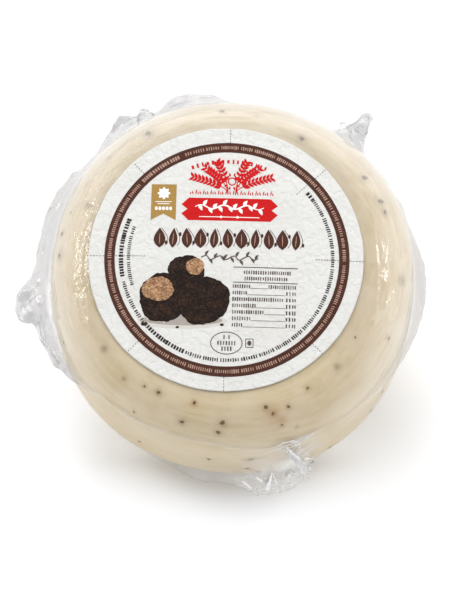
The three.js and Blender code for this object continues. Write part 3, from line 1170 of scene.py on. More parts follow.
def lumpy(x, y, half_width, half_height, seed, rough=0.06):
    """A truffle's outline: an oval with large and small warts."""
    rng = random.Random(seed)
    swells = [(k, rng.uniform(0, 6.28), rng.uniform(0.5, 1.0) / k**0.6) for k in (2, 3, 5, 8, 13, 21, 29)]
    outline = []
    for turn in np.linspace(0, 2 * math.pi, 120, endpoint=False):
        swell = 1 + rough * sum(size * math.cos(count * turn + start) for count, start, size in swells)
        outline.append((x + half_width * swell * math.cos(turn), y + half_height * swell * math.sin(turn)))
    return outline


# The artwork, piece by piece, with its lengths and places in the print frame


def make_ribbon():
    """A gold swallow-tailed ribbon with a white flower, lines and dots."""
    left, right = -28.1, -19.0
    top, tips, notch = 27.7, 13.8, 16.3
    middle = (left + right) / 2
    tails = [(left, top), (left, tips), (middle, notch), (right, tips), (right, top)]
    lay_art("ribbon_print", [[tails]], GOLD_INK)
    white = flower(middle, 24.2, 2.5, 8)
    for y, half in ((20.9, 3.0), (20.1, 2.2)):
        white.append([thick_line([(middle - half, y), (middle, y), (middle + half, y)], 0.28)])
    white += [[ellipse(middle + away, 18.3, 0.55, 0.75, 10)] for away in (-2.6, -1.3, 0, 1.3, 2.6)]
    lay_art("ribbon_flower_print", white, WHITE_INK, RAISED)


def make_plaque():
    """A red plaque with notched ends, and on it a white scroll with leaves and a fine line with two dots."""
    left, right, low, high = -17.0, 18.1, 13.9, 22.6
    notch, corner = 2.2, 2.6
    middle = (low + high) / 2
    outline = [
        (left + corner, low), (right - corner, low), (right, low + corner), (right - notch, middle),
        (right, high - corner), (right - corner, high), (left + corner, high), (left, high - corner),
        (left + notch, middle), (left, low + corner),
    ]
    lay_art("plaque_print", [[outline]], RED_INK)
    stem = wave_line(-12.0, 13.0, middle + 0.9, 1.5, 3)
    white = [[thick_line(stem, 0.6, 0.5)]]
    for index in range(2, len(stem) - 2, 3):
        white.append([leaf(*stem[index], 2.5, 1.3, 58 if index % 2 else -58, 0.08)])
    line_x, line_y = 0.5, 15.3
    white.append([thick_line([(line_x - 11, line_y), (line_x, line_y), (line_x + 11, line_y)], 0.3)])
    white += [[ellipse(line_x + away, line_y, 0.5, 0.5, 8)] for away in (-3.0, 3.0)]
    lay_art("plaque_scroll_print", white, WHITE_INK, RAISED)


SPRIG_X = 1.2
GRASS_Y = 23.9
SPRIG_FOOT = 24.6
SPRIG_START = 1.4
SPRIG_FLOWER_Y = 29.2
# The stems of a sprig: how far out they reach, how high they rise and how many pairs of leaves they have
SPRIG_STEMS = ((14.0, 6.2, 9), (9.5, 9.6, 8), (5.2, 11.8, 6))


def make_sprigs():
    """Red leafy sprigs to both sides of a flower, over a row of grass and under an arc of marks."""
    red = []
    for i, away in enumerate(np.linspace(-15, 15, 34)):
        red.append([leaf(SPRIG_X + away, GRASS_Y, 1.1 + 0.5 * (i % 3), 0.42, 90 + 14 * math.sin(i * 2.1))])
    share = np.linspace(0, 1, 20)
    for side in (-1, 1):
        for reach, rise, leaves in SPRIG_STEMS:
            out = SPRIG_X + side * (SPRIG_START + (reach - SPRIG_START) * share)
            stem = np.stack([out, SPRIG_FOOT + rise * share**0.55], axis=-1)
            red.append([thick_line(stem, 0.34)])
            for index in np.linspace(4, 19, leaves).astype(int):
                way_x, way_y = stem[index] - stem[index - 1]
                slope = math.degrees(math.atan2(way_y, way_x))
                red += [[leaf(*stem[index], 2.3, 1.05, slope + tilt, 0.06)] for tilt in (48, -48)]
    red.append(ring_shape(SPRIG_X, SPRIG_FLOWER_Y, 1.6, 1.6, 0.45))
    for turn in np.linspace(0, 2 * math.pi, 10, endpoint=False):
        foot = (SPRIG_X + 2.1 * math.cos(turn), SPRIG_FLOWER_Y + 2.1 * math.sin(turn))
        red.append([leaf(*foot, 1.5, 0.7, math.degrees(turn))])
    lay_art("sprig_print", red, RED_INK)
    words = word_arcs(37.0, 69, 111, 8, 16, 1.6)
    make_marks("red_arc_marks", words, RED_INK, 1.7, 0.75, 1.5, 31, (0.25, 0.15))


def make_leaf_row():
    """A row of upright brown leaves and seed pods, each leaf with a pale rib and a fine line beside it."""
    brown, pale, lines = [], [], []
    low, high = 3.2, 10.9
    for index in range(11):
        x = -24.6 + 4.96 * index
        wide = (4.3, 3.1, 3.8)[index % 3]
        lean = (0, 4, -4)[(index * 2) % 3]
        foot = x + math.sin(math.radians(lean)) * 3.5
        top = foot - math.sin(math.radians(lean)) * 5.0
        brown.append([leaf(foot, low, high - low, wide, 90 + lean)])
        brown.append([ellipse(x + 2.48, 5.2 + 3.2 * (index % 2), 0.5, 0.8, 10)])
        pale.append([thick_line([(foot, low + 1.4), ((foot + top) / 2, 6.4), (top, high - 2.2)], 0.34, 0.6)])
        edge = np.array(leaf(foot + 0.62, low - 0.15, high - low, wide + 0.5, 90 + lean))[8:]
        lines.append([thick_line(edge, 0.2)])
    lay_art("leaf_row_print", brown, BROWN_INK)
    lay_art("leaf_rib_print", pale, BEIGE_INK, RAISED)
    lay_art("leaf_shadow_print", lines, BROWN_INK, -0.02)


def make_flourish():
    """A running stem with small leaves under the row."""
    stem = wave_line(-9.3, 11.3, -0.3, 1.5, 4, 0.5)
    grey = [[thick_line(stem, 0.4)]]
    for index in range(3, len(stem) - 1, 5):
        grey.append([leaf(*stem[index], 2.4, 0.95, 58 if index % 2 else -58, 0.1)])
    lay_art("flourish_print", grey, SLATE_INK)


TABLE_LEFT = 2.6
TABLE_RIGHT = 25.6
TABLE_TOP = -10.9
TABLE_PITCH = 2.4
TABLE_WORDS = (5.8, 4.7, 17.8, 8.0, 10.9, 6.2, 3.3)
TABLE_HEADER = [(6.5, 14.2, -5.6), (15.2, 23.0, -5.6), (6.8, 12.4, -7.9), (13.4, 21.8, -7.9)]


def make_table():
    """A small ruled table: two header rows, then rows of a word, a leader line and a value."""
    across = (TABLE_LEFT - 0.1, 14, TABLE_RIGHT + 0.2)
    rules = [[thick_line([(x, y) for x in across], 0.3)] for y in (-3.7, -9.4)]
    words = [straight(*row) for row in TABLE_HEADER]
    values = []
    for row, length in enumerate(TABLE_WORDS):
        y = TABLE_TOP - TABLE_PITCH * row
        value_left = 15.5 if row == 0 else 22.0
        words.append(straight(TABLE_LEFT, TABLE_LEFT + length, y))
        values.append(straight(value_left, TABLE_RIGHT - 1.4, y))
        values.append(straight(TABLE_RIGHT - 0.6, TABLE_RIGHT, y))
        start, end, low = TABLE_LEFT + length + 0.4, value_left - 0.5, y - 0.7
        if end - start > 0.8:
            rules.append([thick_line([(start, low), ((start + end) / 2, low), (end, low)], 0.16)])
    lay_art("table_rules_print", rules, SLATE_INK)
    make_marks("table_marks", words + values, SLATE_INK, 0.78, 0.42, 1.3, 41, (0.3, 0.2))


def make_oval_and_square():
    """An oval with three rows of marks, and beside it a small square with a dot."""
    lay_art("oval_print", [ring_shape(0.6, -32.1, 5.8, 4.2, 0.3)], SLATE_INK)
    square = [(7.4, -33.6), (10.3, -33.6), (10.3, -30.3), (7.4, -30.3)]
    hole = [(7.65, -33.35), (7.65, -30.55), (10.05, -30.55), (10.05, -33.35)]
    lay_art("square_print", [[square, hole], [ellipse(8.85, -31.95, 0.75, 0.95, 12)]], SLATE_INK)
    rows = [straight(-0.3, 1.5, -29.9), straight(-2.4, 3.6, -32.1), straight(-0.9, 2.2, -34.2)]
    make_marks("oval_marks", rows, SLATE_INK, 0.95, 0.45, 1.5, 43, (0.2, 0.1))


def make_truffle_print():
    """Three printed truffles and crumbs: cut ones at the left and on top, and a whole one at the right."""
    lay_art("truffle_soft_shadow_print", [[lumpy(-15.6, -24.2, 16.2, 2.9, 5, 0.02)]], PALE_SHADOW_INK, -0.03)
    lay_art("truffle_shadow_print", [[lumpy(-15.4, -23.9, 14.4, 2.0, 6, 0.02)]], SHADOW_INK, -0.01)
    dark = [
        ("back", lumpy(-14.6, -5.8, 6.6, 5.8, 12, 0.075), 0.0),
        ("left", lumpy(-22.4, -15.6, 9.0, 8.4, 17, 0.075), 0.03),
        ("right", lumpy(-8.2, -16.4, 8.8, 9.0, 23, 0.07), 0.06),
    ]
    for name, outline, lift in dark:
        middle = np.mean(outline, axis=0)
        wider = (np.array(outline) - middle) * 1.045 + middle
        lay_art("truffle_edge_" + name, [[wider.tolist()]], DARK_INK, lift - 0.012)
        lay_art("truffle_skin_" + name, [[outline]], SKIN_PRINT, lift)
    cut_faces = [[lumpy(-24.6, -12.4, 5.6, 4.6, 31, 0.07)], [lumpy(-11.4, -3.8, 3.3, 3.1, 37, 0.07)]]
    lay_art("truffle_cut_print", cut_faces, CUT_PRINT, 0.09)
    places = ((-29.5, -25.6, 0.9, 3), (-1.2, -25.4, 0.7, 4), (-17.2, -26.6, 0.6, 6))
    crumbs = [[lumpy(x, y, size, size * 0.7, seed, 0.1)] for x, y, size, seed in places]
    lay_art("truffle_crumb_print", crumbs, SKIN_PRINT)


make_ring_band()
make_perforations()
make_small_print()
make_ribbon()
make_plaque()
make_sprigs()
make_leaf_row()
make_flourish()
make_table()
make_oval_and_square()
make_truffle_print()


# The film

FILM_COLUMNS = 640
BASE_ROWS = 8
LOWER_ROWS = 40
WAIST_ROWS = 8
FIN_ROWS = 11
SHOULDER_ROWS = 58
CROWN_ROWS = 7
TIP_ROW = BASE_ROWS + LOWER_ROWS + WAIST_ROWS + FIN_ROWS

# The film's edge along its seam: angle, its reach past the wheel and its rise over the seam
FILM_EDGE = [
    (-179.4, 9.4, 0.5), (-176.8, 12.0, 1), (-173.6, 13.2, 1), (-170.7, 13.3, 0.5), (-168.7, 12.6, 0),
    (-167.6, 7.2, 0), (-165, 6.2, -1), (-162, 6.6, -1), (-158.3, 5.2, -1), (-156, 5.8, -1), (-153.3, 5.6, -1),
    (-151.4, 3.8, 0), (-148.5, 3.0, 0), (-143, 1.4, 0), (-137, 0.9, 0), (-48, 0.9, 0), (-30, 2.0, 0),
    (-16, 3.7, 0), (-5.2, 4.4, 0), (4, 3.8, 0), (12.6, 1.8, 0), (19, 1.0, 0), (24, 1.5, 0), (28, 0.9, 0),
    (34, 1.4, 0), (38, 0.9, 0), (44.5, 1.3, 0), (46.9, 3.9, 1), (48.4, 8.0, 2), (49.8, 12.0, 3.5),
    (51.4, 12.8, 4), (52.6, 10.0, 3), (54, 5.0, 1.5), (56, 1.8, 1), (59, 1.0, 0), (88, 1.0, 0),
    (91.4, 1.9, 0), (93.5, 3.2, 0.5), (96.1, 4.7, 1), (101.1, 5.4, 1), (105.4, 6.0, 1), (110.1, 4.6, 1),
    (112, 2.8, 0.5), (115.5, 2.6, 0), (118.2, 5.2, 1), (120, 3.4, 1), (121.7, 5.6, 1), (124.1, 7.8, 1),
    (127, 6.0, 0.5), (131, 4.0, 0), (136.2, 2.0, 0), (142.8, 2.4, 0), (146, 4.4, 0), (149.9, 5.2, 0),
    (157.8, 6.2, 0), (168, 5.8, 0), (174, 6.0, 0), (177.8, 6.5, 0),
]
EDGE_BLUR = 0.7
# How far above and below the seam the film leaves the wheel: angle and height
FILM_SPREAD = [
    (-176, 8.5), (-165, 6.5), (-150, 4.5), (-138, 1.2), (-48, 1.0), (-30, 4.0), (-10, 9.0), (6, 8.5),
    (18, 3.0), (40, 1.0), (60, 1.0), (88, 1.0), (96, 5.5), (106, 6.0), (113, 2.0), (122, 3.5), (134, 3.0),
    (146, 8.0), (165, 9.5),
]
SPREAD_BLUR = 3.0
# The least room between where the film leaves the wheel and the wheel's widest place, and its top's edge
ROOT_OVER_WIDEST = 0.3
ROOT_UNDER_TOP = 1.0
# How early a flap rises on its way out, where 1 is evenly
FLAP_CURVE = 0.75
# How strongly the film past the wheel veils what is behind it: angle and share
FILM_VEIL = [
    (-165, 1.2), (-140, 1.0), (-60, 0.5), (0, 1.3), (25, 1.2), (51, 0.85), (75, 0.8), (105, 1.5),
    (125, 1.3), (150, 1.2),
]
VEIL_BLUR = 5.0
# Where the film is crumpled: angle, half width in degrees, middle height, half height and strength
CRUMPLED = [
    ("left ear", -173, 10, 46, 9, 0.38),
    ("left frill", -158, 9, 47, 10, 0.42),
    ("front skirt", -78, 14, 8, 14, 0.7),
    ("front twist", -68, 7, 34, 22, 0.5),
    ("skirt tail", -100, 9, 10, 10, 0.3),
    ("back right ear", 51, 6, 54, 8, 0.22),
    ("back bubble", 103, 13, 53, 7, 0.12),
    ("back left flap", 123, 8, 53, 7, 0.12),
    ("right bulge", -2, 20, 52, 12, 0.15),
]
# Where the film is milky in streaks, and where an even milky white on the back shoulders stands in for sheen,
# a painted sheen: the same
STREAKED = [
    ("front gather", -73, 11, 45, 13, 0.34),
    ("front skirt", -77, 13, 22, 17, 0.14),
]
PAINTED_SHEEN = [
    ("back left shoulder", 128, 22, 63, 11, 0.09),
    ("back right shoulder", 52, 24, 63, 11, 0.08),
]
# Where the film is finely speckled over the cheese: the same
SPECKLED = [
    ("left shoulder", 178, 34, 71.6, 4.2, 1.0),
    ("right shoulder", -8, 26, 68, 7, 0.35),
    ("front shoulder", -120, 22, 70, 5, 0.35),
]
# Single folds in the film over the cheese: places along each as angle, radius and height, its rise and its
# half width
FOLDS = [
    ([(6.5, 64.5, 65), (1.5, 63.0, 67.5), (-8.0, 60.6, 69.6), (-18.5, 57.5, 71.5), (-23.8, 55.5, 72.3)],
     0.4, 0.7),
    ([(-23.8, 55.5, 72.3), (-19.0, 58.8, 70.8), (-22.0, 62.5, 68.2)], 0.25, 0.6),
    ([(11.6, 52.4, 72.8), (-0.3, 52.2, 72.9)], 0.25, 0.5),
]
# How square the crumpled, milky and speckled places are
PLACE_SQUARENESS = 3
# Where the film clings to the cheese with no air under it: angle, half width and squareness
CLINGING = (-97, 56, 5)
# Where it is glossier than elsewhere: angle, half width and how much
BACK_GLOSS = (90, 62, 0.5)
# The skirt of film that hangs in front: the angle, half width, reach and squareness of its parts, the height
# where it stands out most, the height of its foot and how hollow its slope is
SKIRT = [("middle", -78, 9, 8.5, 2.6), ("left tail", -97, 13, 4.2, 2), ("right tuck", -69, 4, 3.5, 2)]
SKIRT_HEIGHT = 9.0
SKIRT_FOOT = 1.2
SKIRT_HOLLOW = 1.4
# Under the label the film lies flat: its height there, how far past the label that reaches, the width in
# which it eases into relief, and the height above which the film is on top
FILM_UNDER_LABEL = 0.16
LABEL_MARGIN = 1.2
LABEL_EASE = 1.6
ON_TOP_ABOVE = 60
FILM_THICKNESS = 0.24
# Creases in layers: the height of each, the size of its pattern and its seed
STREAK_CREASES = [(0.06, 3.0, 4.4), (0.04, 1.5, 8.1)]
CRUSHED_CREASES = [(0.75, 6.5, 12.3), (0.42, 3.2, 17.9)]
SPECKLE_STREAKS = [(0.12, 2.2, 15.1)]
SPECKLE_DENTS = [(0.10, 1.7, 19.4)]
SKIRT_PLEATS = [(0.09, 5.0, 21.0), (0.05, 2.4, 25.0)]
FLAP_RUFFLES = [(0.7, 5.5, 31.0), (0.5, 2.4, 35.0)]
FLAP_BANDS = [(0.6, 2.0, 38.0)]
CREASE_SHARPNESS = 3.2
# Broad slack in the film: its height, size and seed
SLACK = (0.09, 7.0, 2.9)
# How patterns are stretched: along and across the film's course, up the skirt's pleats and round the flaps
ALONG_COURSE = 0.3
ACROSS_COURSE = 1.15
UP_PLEATS = 0.35
ROUND_FLAPS = 0.25
# The share of its relief that the film keeps where it clings
LEAST_RELIEF = 0.25
# How near the base the film has settled flat, how deep it may dent and how much deeper in the skirt
SETTLED_BELOW = 2.5
DEEPEST_DENT = 0.12
DENT_IN_SKIRT = 0.5
# A flap's ruffling: the reach at which it is 1, its most farther out, and what it has where it isn't crumpled
FULL_FLAP = 5
MOST_RUFFLE = 1.6
LEAST_RUFFLE = 0.3
# How far flaps sway sideways, the size of the pattern and its seeds
SWAY = 0.5
SWAY_SIZE = 4.0
SWAY_SEEDS = (41.0, 47.0)
# The skirt: the reach at which it hangs free, its air and its veil; the veil greys it partly as film and
# partly as painted shade under the wheel's overhang
FREE_REACH = 3
SKIRT_GAP = 0.75
SKIRT_VEIL_AND_SHADE = 0.2
# How milky the film is where it is crumpled, on its flaps and along its edge, there more where it clings;
# that extra white along the edge where it clings is a painted highlight on the seam
CRUMPLED_HAZE = 0.10
FLAP_HAZE = 0.04
EDGE_HAZE = 0.10
CLINGING_SEAM_HIGHLIGHT = 0.35
# How much its flaps and its edge veil, and the reaches at which they do so in full
FLAP_VEIL = 0.62
FLAP_VEIL_REACH = 2.5
EDGE_VEIL = 0.65
EDGE_VEIL_REACH = 3.0


def round_course(knots, angle, column, blur):
    """A value along the seam, read between knots all the way round and softened a little."""
    places = np.array([knot[0] for knot in knots], float)
    values = np.array([knot[column] for knot in knots], float)
    found = np.interp(angle, np.concatenate([places - 360, places, places + 360]), np.tile(values, 3))
    step = angle[1] - angle[0]
    reach = int(3 * blur / step) + 1
    weights = np.exp(-((np.arange(-reach, reach + 1) * step / blur) ** 2) / 2)
    wrapped = np.concatenate([found[-reach:], found, found[:reach]])
    return np.convolve(wrapped, weights / weights.sum(), mode="valid")


def skirt_reach(angle, height):
    """How far the skirt stands out from the wheel at an angle and a height."""
    top = seam_height(angle)
    hang = np.where(
        height > SKIRT_HEIGHT,
        (top - height) / (top - SKIRT_HEIGHT),
        (height - SKIRT_FOOT) / (SKIRT_HEIGHT - SKIRT_FOOT),
    )
    reach = sum(part_reach * bump(angle, at, width, square) for name, at, width, part_reach, square in SKIRT)
    return reach * np.clip(hang, 0, 1) ** SKIRT_HOLLOW


def at_side(angle, radius, height):
    turn = math.radians(angle)
    return (radius * math.cos(turn), radius * math.sin(turn), height)


def share_in(places, angle, height):
    """How far points lie inside the strongest of some places on the film, from 0 to 1."""
    share = 0 * (angle + height)
    for name, at, half_width, middle, half_height, strength in places:
        level = np.exp(-((np.abs(height - middle) / half_height) ** PLACE_SQUARENESS))
        share = np.maximum(share, strength * (bump(angle, at, half_width, PLACE_SQUARENESS) * level))
    return share


def film_grid(angle, reach):
    """Points of the film's closed bag, in rows from the base's middle to the top's middle.

    Beside them comes each point's share of the way from the wheel out to the film's edge.
    """
    rise = round_course(FILM_EDGE, angle, 2, EDGE_BLUR)
    spread = round_course(FILM_SPREAD, angle, 1, SPREAD_BLUR)
    seam = seam_height(angle)
    root_low = share_at_height(np.maximum(seam - spread, WIDEST_HEIGHT + ROOT_OVER_WIDEST))
    root_high = share_at_height(np.minimum(seam + spread, WHEEL_HEIGHT - TOP_CROWN - ROOT_UNDER_TOP))
    rows = []
    fin = []

    def add_row(radius, height, out=0):
        rows.append(around(radius, angle, height + 0 * angle))
        fin.append(out + 0 * angle)

    def add_hung_row(radius, height):
        height = height + 0 * angle
        add_row(radius + skirt_reach(angle, height), height)

    def add_fin(start, tip_radius, tip_height, steps):
        radius, height = start
        for step in steps:
            level = height + (tip_height - height) * step**FLAP_CURVE
            add_row(radius + (tip_radius - radius) * step, level, step)

    flat = WHEEL_RADIUS * BASE_SHARE
    for share in np.linspace(0.1, 1, BASE_ROWS, endpoint=False):
        add_row((flat + out_of_round(angle)) * share, 0)
    for share in np.linspace(1, 0, LOWER_ROWS, endpoint=False):
        add_hung_row(*lower_side(share, angle))
    for step in np.linspace(0, 1, WAIST_ROWS):
        add_hung_row(*upper_side(root_low * step, angle))
    low_radius, low_height = upper_side(root_low, angle)
    low_radius = low_radius + skirt_reach(angle, low_height)
    tip_radius = upper_side(share_at_height(seam), angle)[0] + reach
    tip_height = seam + rise
    half = FILM_THICKNESS / 2
    out_steps = np.linspace(0, 1, FIN_ROWS + 1)[1:]
    back_steps = np.linspace(1, 0, FIN_ROWS + 1)[:-1]
    add_fin((low_radius, low_height), tip_radius, tip_height - half, out_steps)
    add_fin(upper_side(root_high, angle), tip_radius, tip_height + half, back_steps)
    for step in np.linspace(0, 1, SHOULDER_ROWS):
        add_row(*upper_side(root_high + (1 - root_high) * step, angle))
    edge = WHEEL_RADIUS * TOP_SHARE
    for share in np.linspace(1, 0, CROWN_ROWS + 1, endpoint=False)[1:]:
        add_row((edge + out_of_round(angle)) * share, top_height(edge * share))
    return np.array(rows), np.array(fin)


def ridges(points, size, seed):
    """Sharp creases: 1 along them, falling to below 0 between."""
    return 1 - CREASE_SHARPNESS * np.abs(waves(points, size, seed))


def creased(points, layers):
    return sum(height * ridges(points, size, seed) for height, size, seed in layers)


def fold_share(points, path, wide):
    """1 along a path of places on the film, falling to nothing past the fold's half width."""
    far = np.full(points.shape[:-1], 1e3)
    places = [np.array(at_side(*place)) for place in path]
    for here, after in zip(places, places[1:]):
        way = after - here
        along = np.clip((points - here) @ way / (way @ way), 0, 1)
        far = np.minimum(far, np.linalg.norm(points - here - along[..., None] * way, axis=-1))
    return np.exp(-((far / wide) ** 2))


def air_gap(angle):
    """How much air lies under the film, from 0 in front, where it clings, to 1."""
    return 1 - bump(angle, *CLINGING)


def film_relief(points, angle, crumple, speckle):
    """How far the film stands proud of the wheel along its normal."""
    x, y, z = points[..., 0], points[..., 1], points[..., 2]
    from_label = np.hypot(x - LABEL_X, y - LABEL_Y)
    under_label = smooth((LABEL_RADIUS + LABEL_MARGIN - from_label) / LABEL_EASE) * (z > ON_TOP_ABOVE)
    gap = air_gap(angle) + 0 * z
    course = np.stack([x * ALONG_COURSE, y * ALONG_COURSE, z * ACROSS_COURSE - np.hypot(x, y)], axis=-1)
    slack_height, slack_size, slack_seed = SLACK
    slack = slack_height * waves(points, slack_size, slack_seed)
    fine = creased(course, SPECKLE_STREAKS) + creased(points, SPECKLE_DENTS)
    folds = sum(high * fold_share(points, path, wide) for path, high, wide in FOLDS)
    relief = (creased(course, STREAK_CREASES) + slack) * (LEAST_RELIEF + (1 - LEAST_RELIEF) * gap)
    relief = relief + creased(points, CRUSHED_CREASES) * crumple + fine * speckle + folds
    return relief * (1 - under_label) + under_label * FILM_UNDER_LABEL


def film_points(rows, fin, angle, reach, crumple, speckle):
    """The film's grid with its relief, the pleats of its skirt and the ruffles of its flaps."""
    x, y, height = rows[..., 0], rows[..., 1], rows[..., 2]
    skirt = skirt_reach(angle, height)
    upright = np.stack([x, y, height * UP_PLEATS], axis=-1)
    relief = film_relief(rows, angle, crumple, speckle) + skirt * creased(upright, SKIRT_PLEATS)
    settled = smooth(height / SETTLED_BELOW)
    deepest = -DEEPEST_DENT - DENT_IN_SKIRT * skirt
    relief = np.maximum(relief, deepest) * settled * np.where(fin > 0, 0, 1)
    points = rows + grid_normals(rows, True) * relief[..., None]
    level = np.stack([x, y, 0 * height], axis=-1)
    outward = np.stack([x * ROUND_FLAPS, y * ROUND_FLAPS, np.hypot(x, y)], axis=-1)
    flap = np.minimum(reach / FULL_FLAP, MOST_RUFFLE) * fin
    ruffle = (LEAST_RUFFLE + crumple) * creased(level, FLAP_RUFFLES)
    points[..., 2] += flap * (ruffle + creased(outward, FLAP_BANDS))
    sway = np.stack([waves(rows, SWAY_SIZE, seed) for seed in SWAY_SEEDS] + [0 * height], axis=-1)
    return points + flap[..., None] * SWAY * sway


def dress_film(film, rows, fin, angle, reach, crumple, speckle):
    """Stores on the film what its material reads: how loose, milky, airy and crumpled it is at each point.
    The looseness includes painted shade in the skirt, and the milkiness a painted sheen and a painted seam
    highlight.
    """
    height = rows[..., 2]
    here = angle + 0 * height
    tip = slice(TIP_ROW - 1, TIP_ROW + 1)
    hang = smooth(skirt_reach(angle, height) / FREE_REACH)
    at, half_width, more = BACK_GLOSS
    gap = np.maximum(air_gap(angle) + more * bump(angle, at, half_width) + 0 * height, SKIRT_GAP * hang)
    lines = np.stack([rows[..., 0] * ALONG_COURSE, rows[..., 1] * ALONG_COURSE, height], axis=-1)
    streaks = np.clip(0.9 + 0.9 * waves(lines, 2.4, 51.0), 0.25, 1.8)
    # Milky streaks of gathered film, and on the back shoulders an even white that is a painted sheen
    milky = share_in(STREAKED, here, height) * streaks + share_in(PAINTED_SHEEN, here, height)
    haze_and_sheen = CRUMPLED_HAZE * crumple + FLAP_HAZE * smooth(fin / 0.4) + milky
    haze_and_sheen[tip] += EDGE_HAZE + CLINGING_SEAM_HIGHLIGHT * (1 - air_gap(angle))
    veil = round_course(FILM_VEIL, angle, 1, VEIL_BLUR)
    loose = FLAP_VEIL * veil * smooth(fin / 0.2) * smooth(reach / FLAP_VEIL_REACH)
    loose[tip] = np.maximum(loose[tip], EDGE_VEIL * smooth(reach / EDGE_VEIL_REACH))
    write_level(film, "film_veil_and_shade", np.maximum(loose, SKIRT_VEIL_AND_SHADE * hang))
    write_level(film, "film_haze_and_sheen", haze_and_sheen)
    write_level(film, "film_gap", gap)
    creased_here = 0.1 + 0.2 * gap + crumple + 0.3 * speckle + 0.08 * (fin > 0.2)
    write_level(film, "film_crumple", np.clip(creased_here, 0, 1))


def make_film():
    angle = np.linspace(-180, 180, FILM_COLUMNS, endpoint=False)
    reach = round_course(FILM_EDGE, angle, 1, EDGE_BLUR)
    rows, fin = film_grid(angle, reach)
    height = rows[..., 2]
    crumple = share_in(CRUMPLED, angle + 0 * height, height)
    speckle = share_in(SPECKLED, angle + 0 * height, height)
    points = film_points(rows, fin, angle, reach, crumple, speckle)
    count, columns = points.shape[:2]
    faces = grid_faces(count, columns, True)
    corners = points.reshape(-1, 3).tolist()
    low, high = len(corners), len(corners) + 1
    corners += [(0, 0, 0), (0, 0, float(points[-1, :, 2].mean()))]
    first = (count - 1) * columns
    for column in range(columns):
        beside = (column + 1) % columns
        faces.append([low, beside, column])
        faces.append([high, first + column, first + beside])
    film = make_piece("film_wrap", corners, faces, FILM)
    dress_film(film, rows, fin, angle, reach, crumple, speckle)
    finish_piece(film, "clear_film", "film_wrapped_wheel")


SHEET_THICKNESS = 0.16
STRIP_ROWS = 70
STRIP_COLUMNS = 12
SMOOTHING_ROUNDS = 5
STRIP_GAP = 0.6
STRIP_CRUMPLE = 0.7
# How far a strip rocks to and fro besides its twist, in degrees, and how fast along its length
ROCKING = 25
ROCKING_PACE = 11
# How far a strip's edges cup, against how hard it is crushed
CUP = 2.0


def unit(vectors):
    return vectors / np.linalg.norm(vectors, axis=1, keepdims=True)


def strip_surface(path, widths, twist, crush, seed):
    """The middle surface of a strip of film along a path, as a grid of points."""
    knots = np.linspace(0, 1, len(path))
    at = np.linspace(0, 1, STRIP_ROWS)
    line = np.stack([np.interp(at, knots, places) for places in np.array(path, float).T], axis=-1)
    for _ in range(SMOOTHING_ROUNDS):
        line[1:-1] = (line[:-2] + 2 * line[1:-1] + line[2:]) / 4
    width = np.interp(at, knots, widths)
    way = unit(np.gradient(line, axis=0))
    side = unit(np.cross(way, unit(line * [1, 1, 0])))
    front = np.cross(side, way)
    rocking = ROCKING * np.sin(at * ROCKING_PACE + seed)
    turn = np.radians(np.linspace(0, twist, STRIP_ROWS) + rocking)[:, None]
    span = side * np.cos(turn) + front * np.sin(turn)
    face = front * np.cos(turn) - side * np.sin(turn)
    offset = np.linspace(-0.5, 0.5, STRIP_COLUMNS)[None, :, None]
    middle = line[:, None, :] + span[:, None, :] * width[:, None, None] * offset
    fold = crush * creased(middle, [(1.0, 2.6, seed), (0.5, 1.3, seed + 3.7)])
    cup = crush * CUP * (offset[..., 0] * 2) ** 2
    return middle + face[:, None, :] * (fold + cup)[..., None]


def make_strip(name, places, widths, twist, crush, seed, milky, veil):
    """A closed strip of crushed film along places on the wheel's side."""
    middle = strip_surface([at_side(*place) for place in places], widths, twist, crush, seed)
    half = grid_normals(middle, False) * SHEET_THICKNESS / 2
    ring = np.concatenate([middle + half, (middle - half)[:, ::-1]], axis=1)
    columns = ring.shape[1]
    faces = reversed_faces(grid_faces(STRIP_ROWS, columns, True))
    last = (STRIP_ROWS - 1) * columns
    for index in range(STRIP_COLUMNS - 1):
        end = [index, columns - 1 - index, columns - 2 - index, index + 1]
        faces.append(end[::-1])
        faces.append([last + corner for corner in end])
    corners = ring.reshape(-1, 3)
    piece = make_piece(name, corners, facing_out(corners, faces), FILM)
    levels = {"film_haze_and_sheen": milky, "film_veil_and_shade": veil, "film_gap": STRIP_GAP, "film_crumple": STRIP_CRUMPLE}
    for level, value in levels.items():
        write_level(piece, level, np.full(ring.shape[:2], value))
    finish_piece(piece, "clear_film")


def facing_out(points, faces):
    """The faces, turned round if the closed shape that they make is inside out."""
    volume = 0.0
    for face in faces:
        first = points[face[0]]
        for b, c in zip(face[1:-1], face[2:]):
            volume += float(first @ np.cross(points[b], points[c]))
    return faces if volume > 0 else reversed_faces(faces)


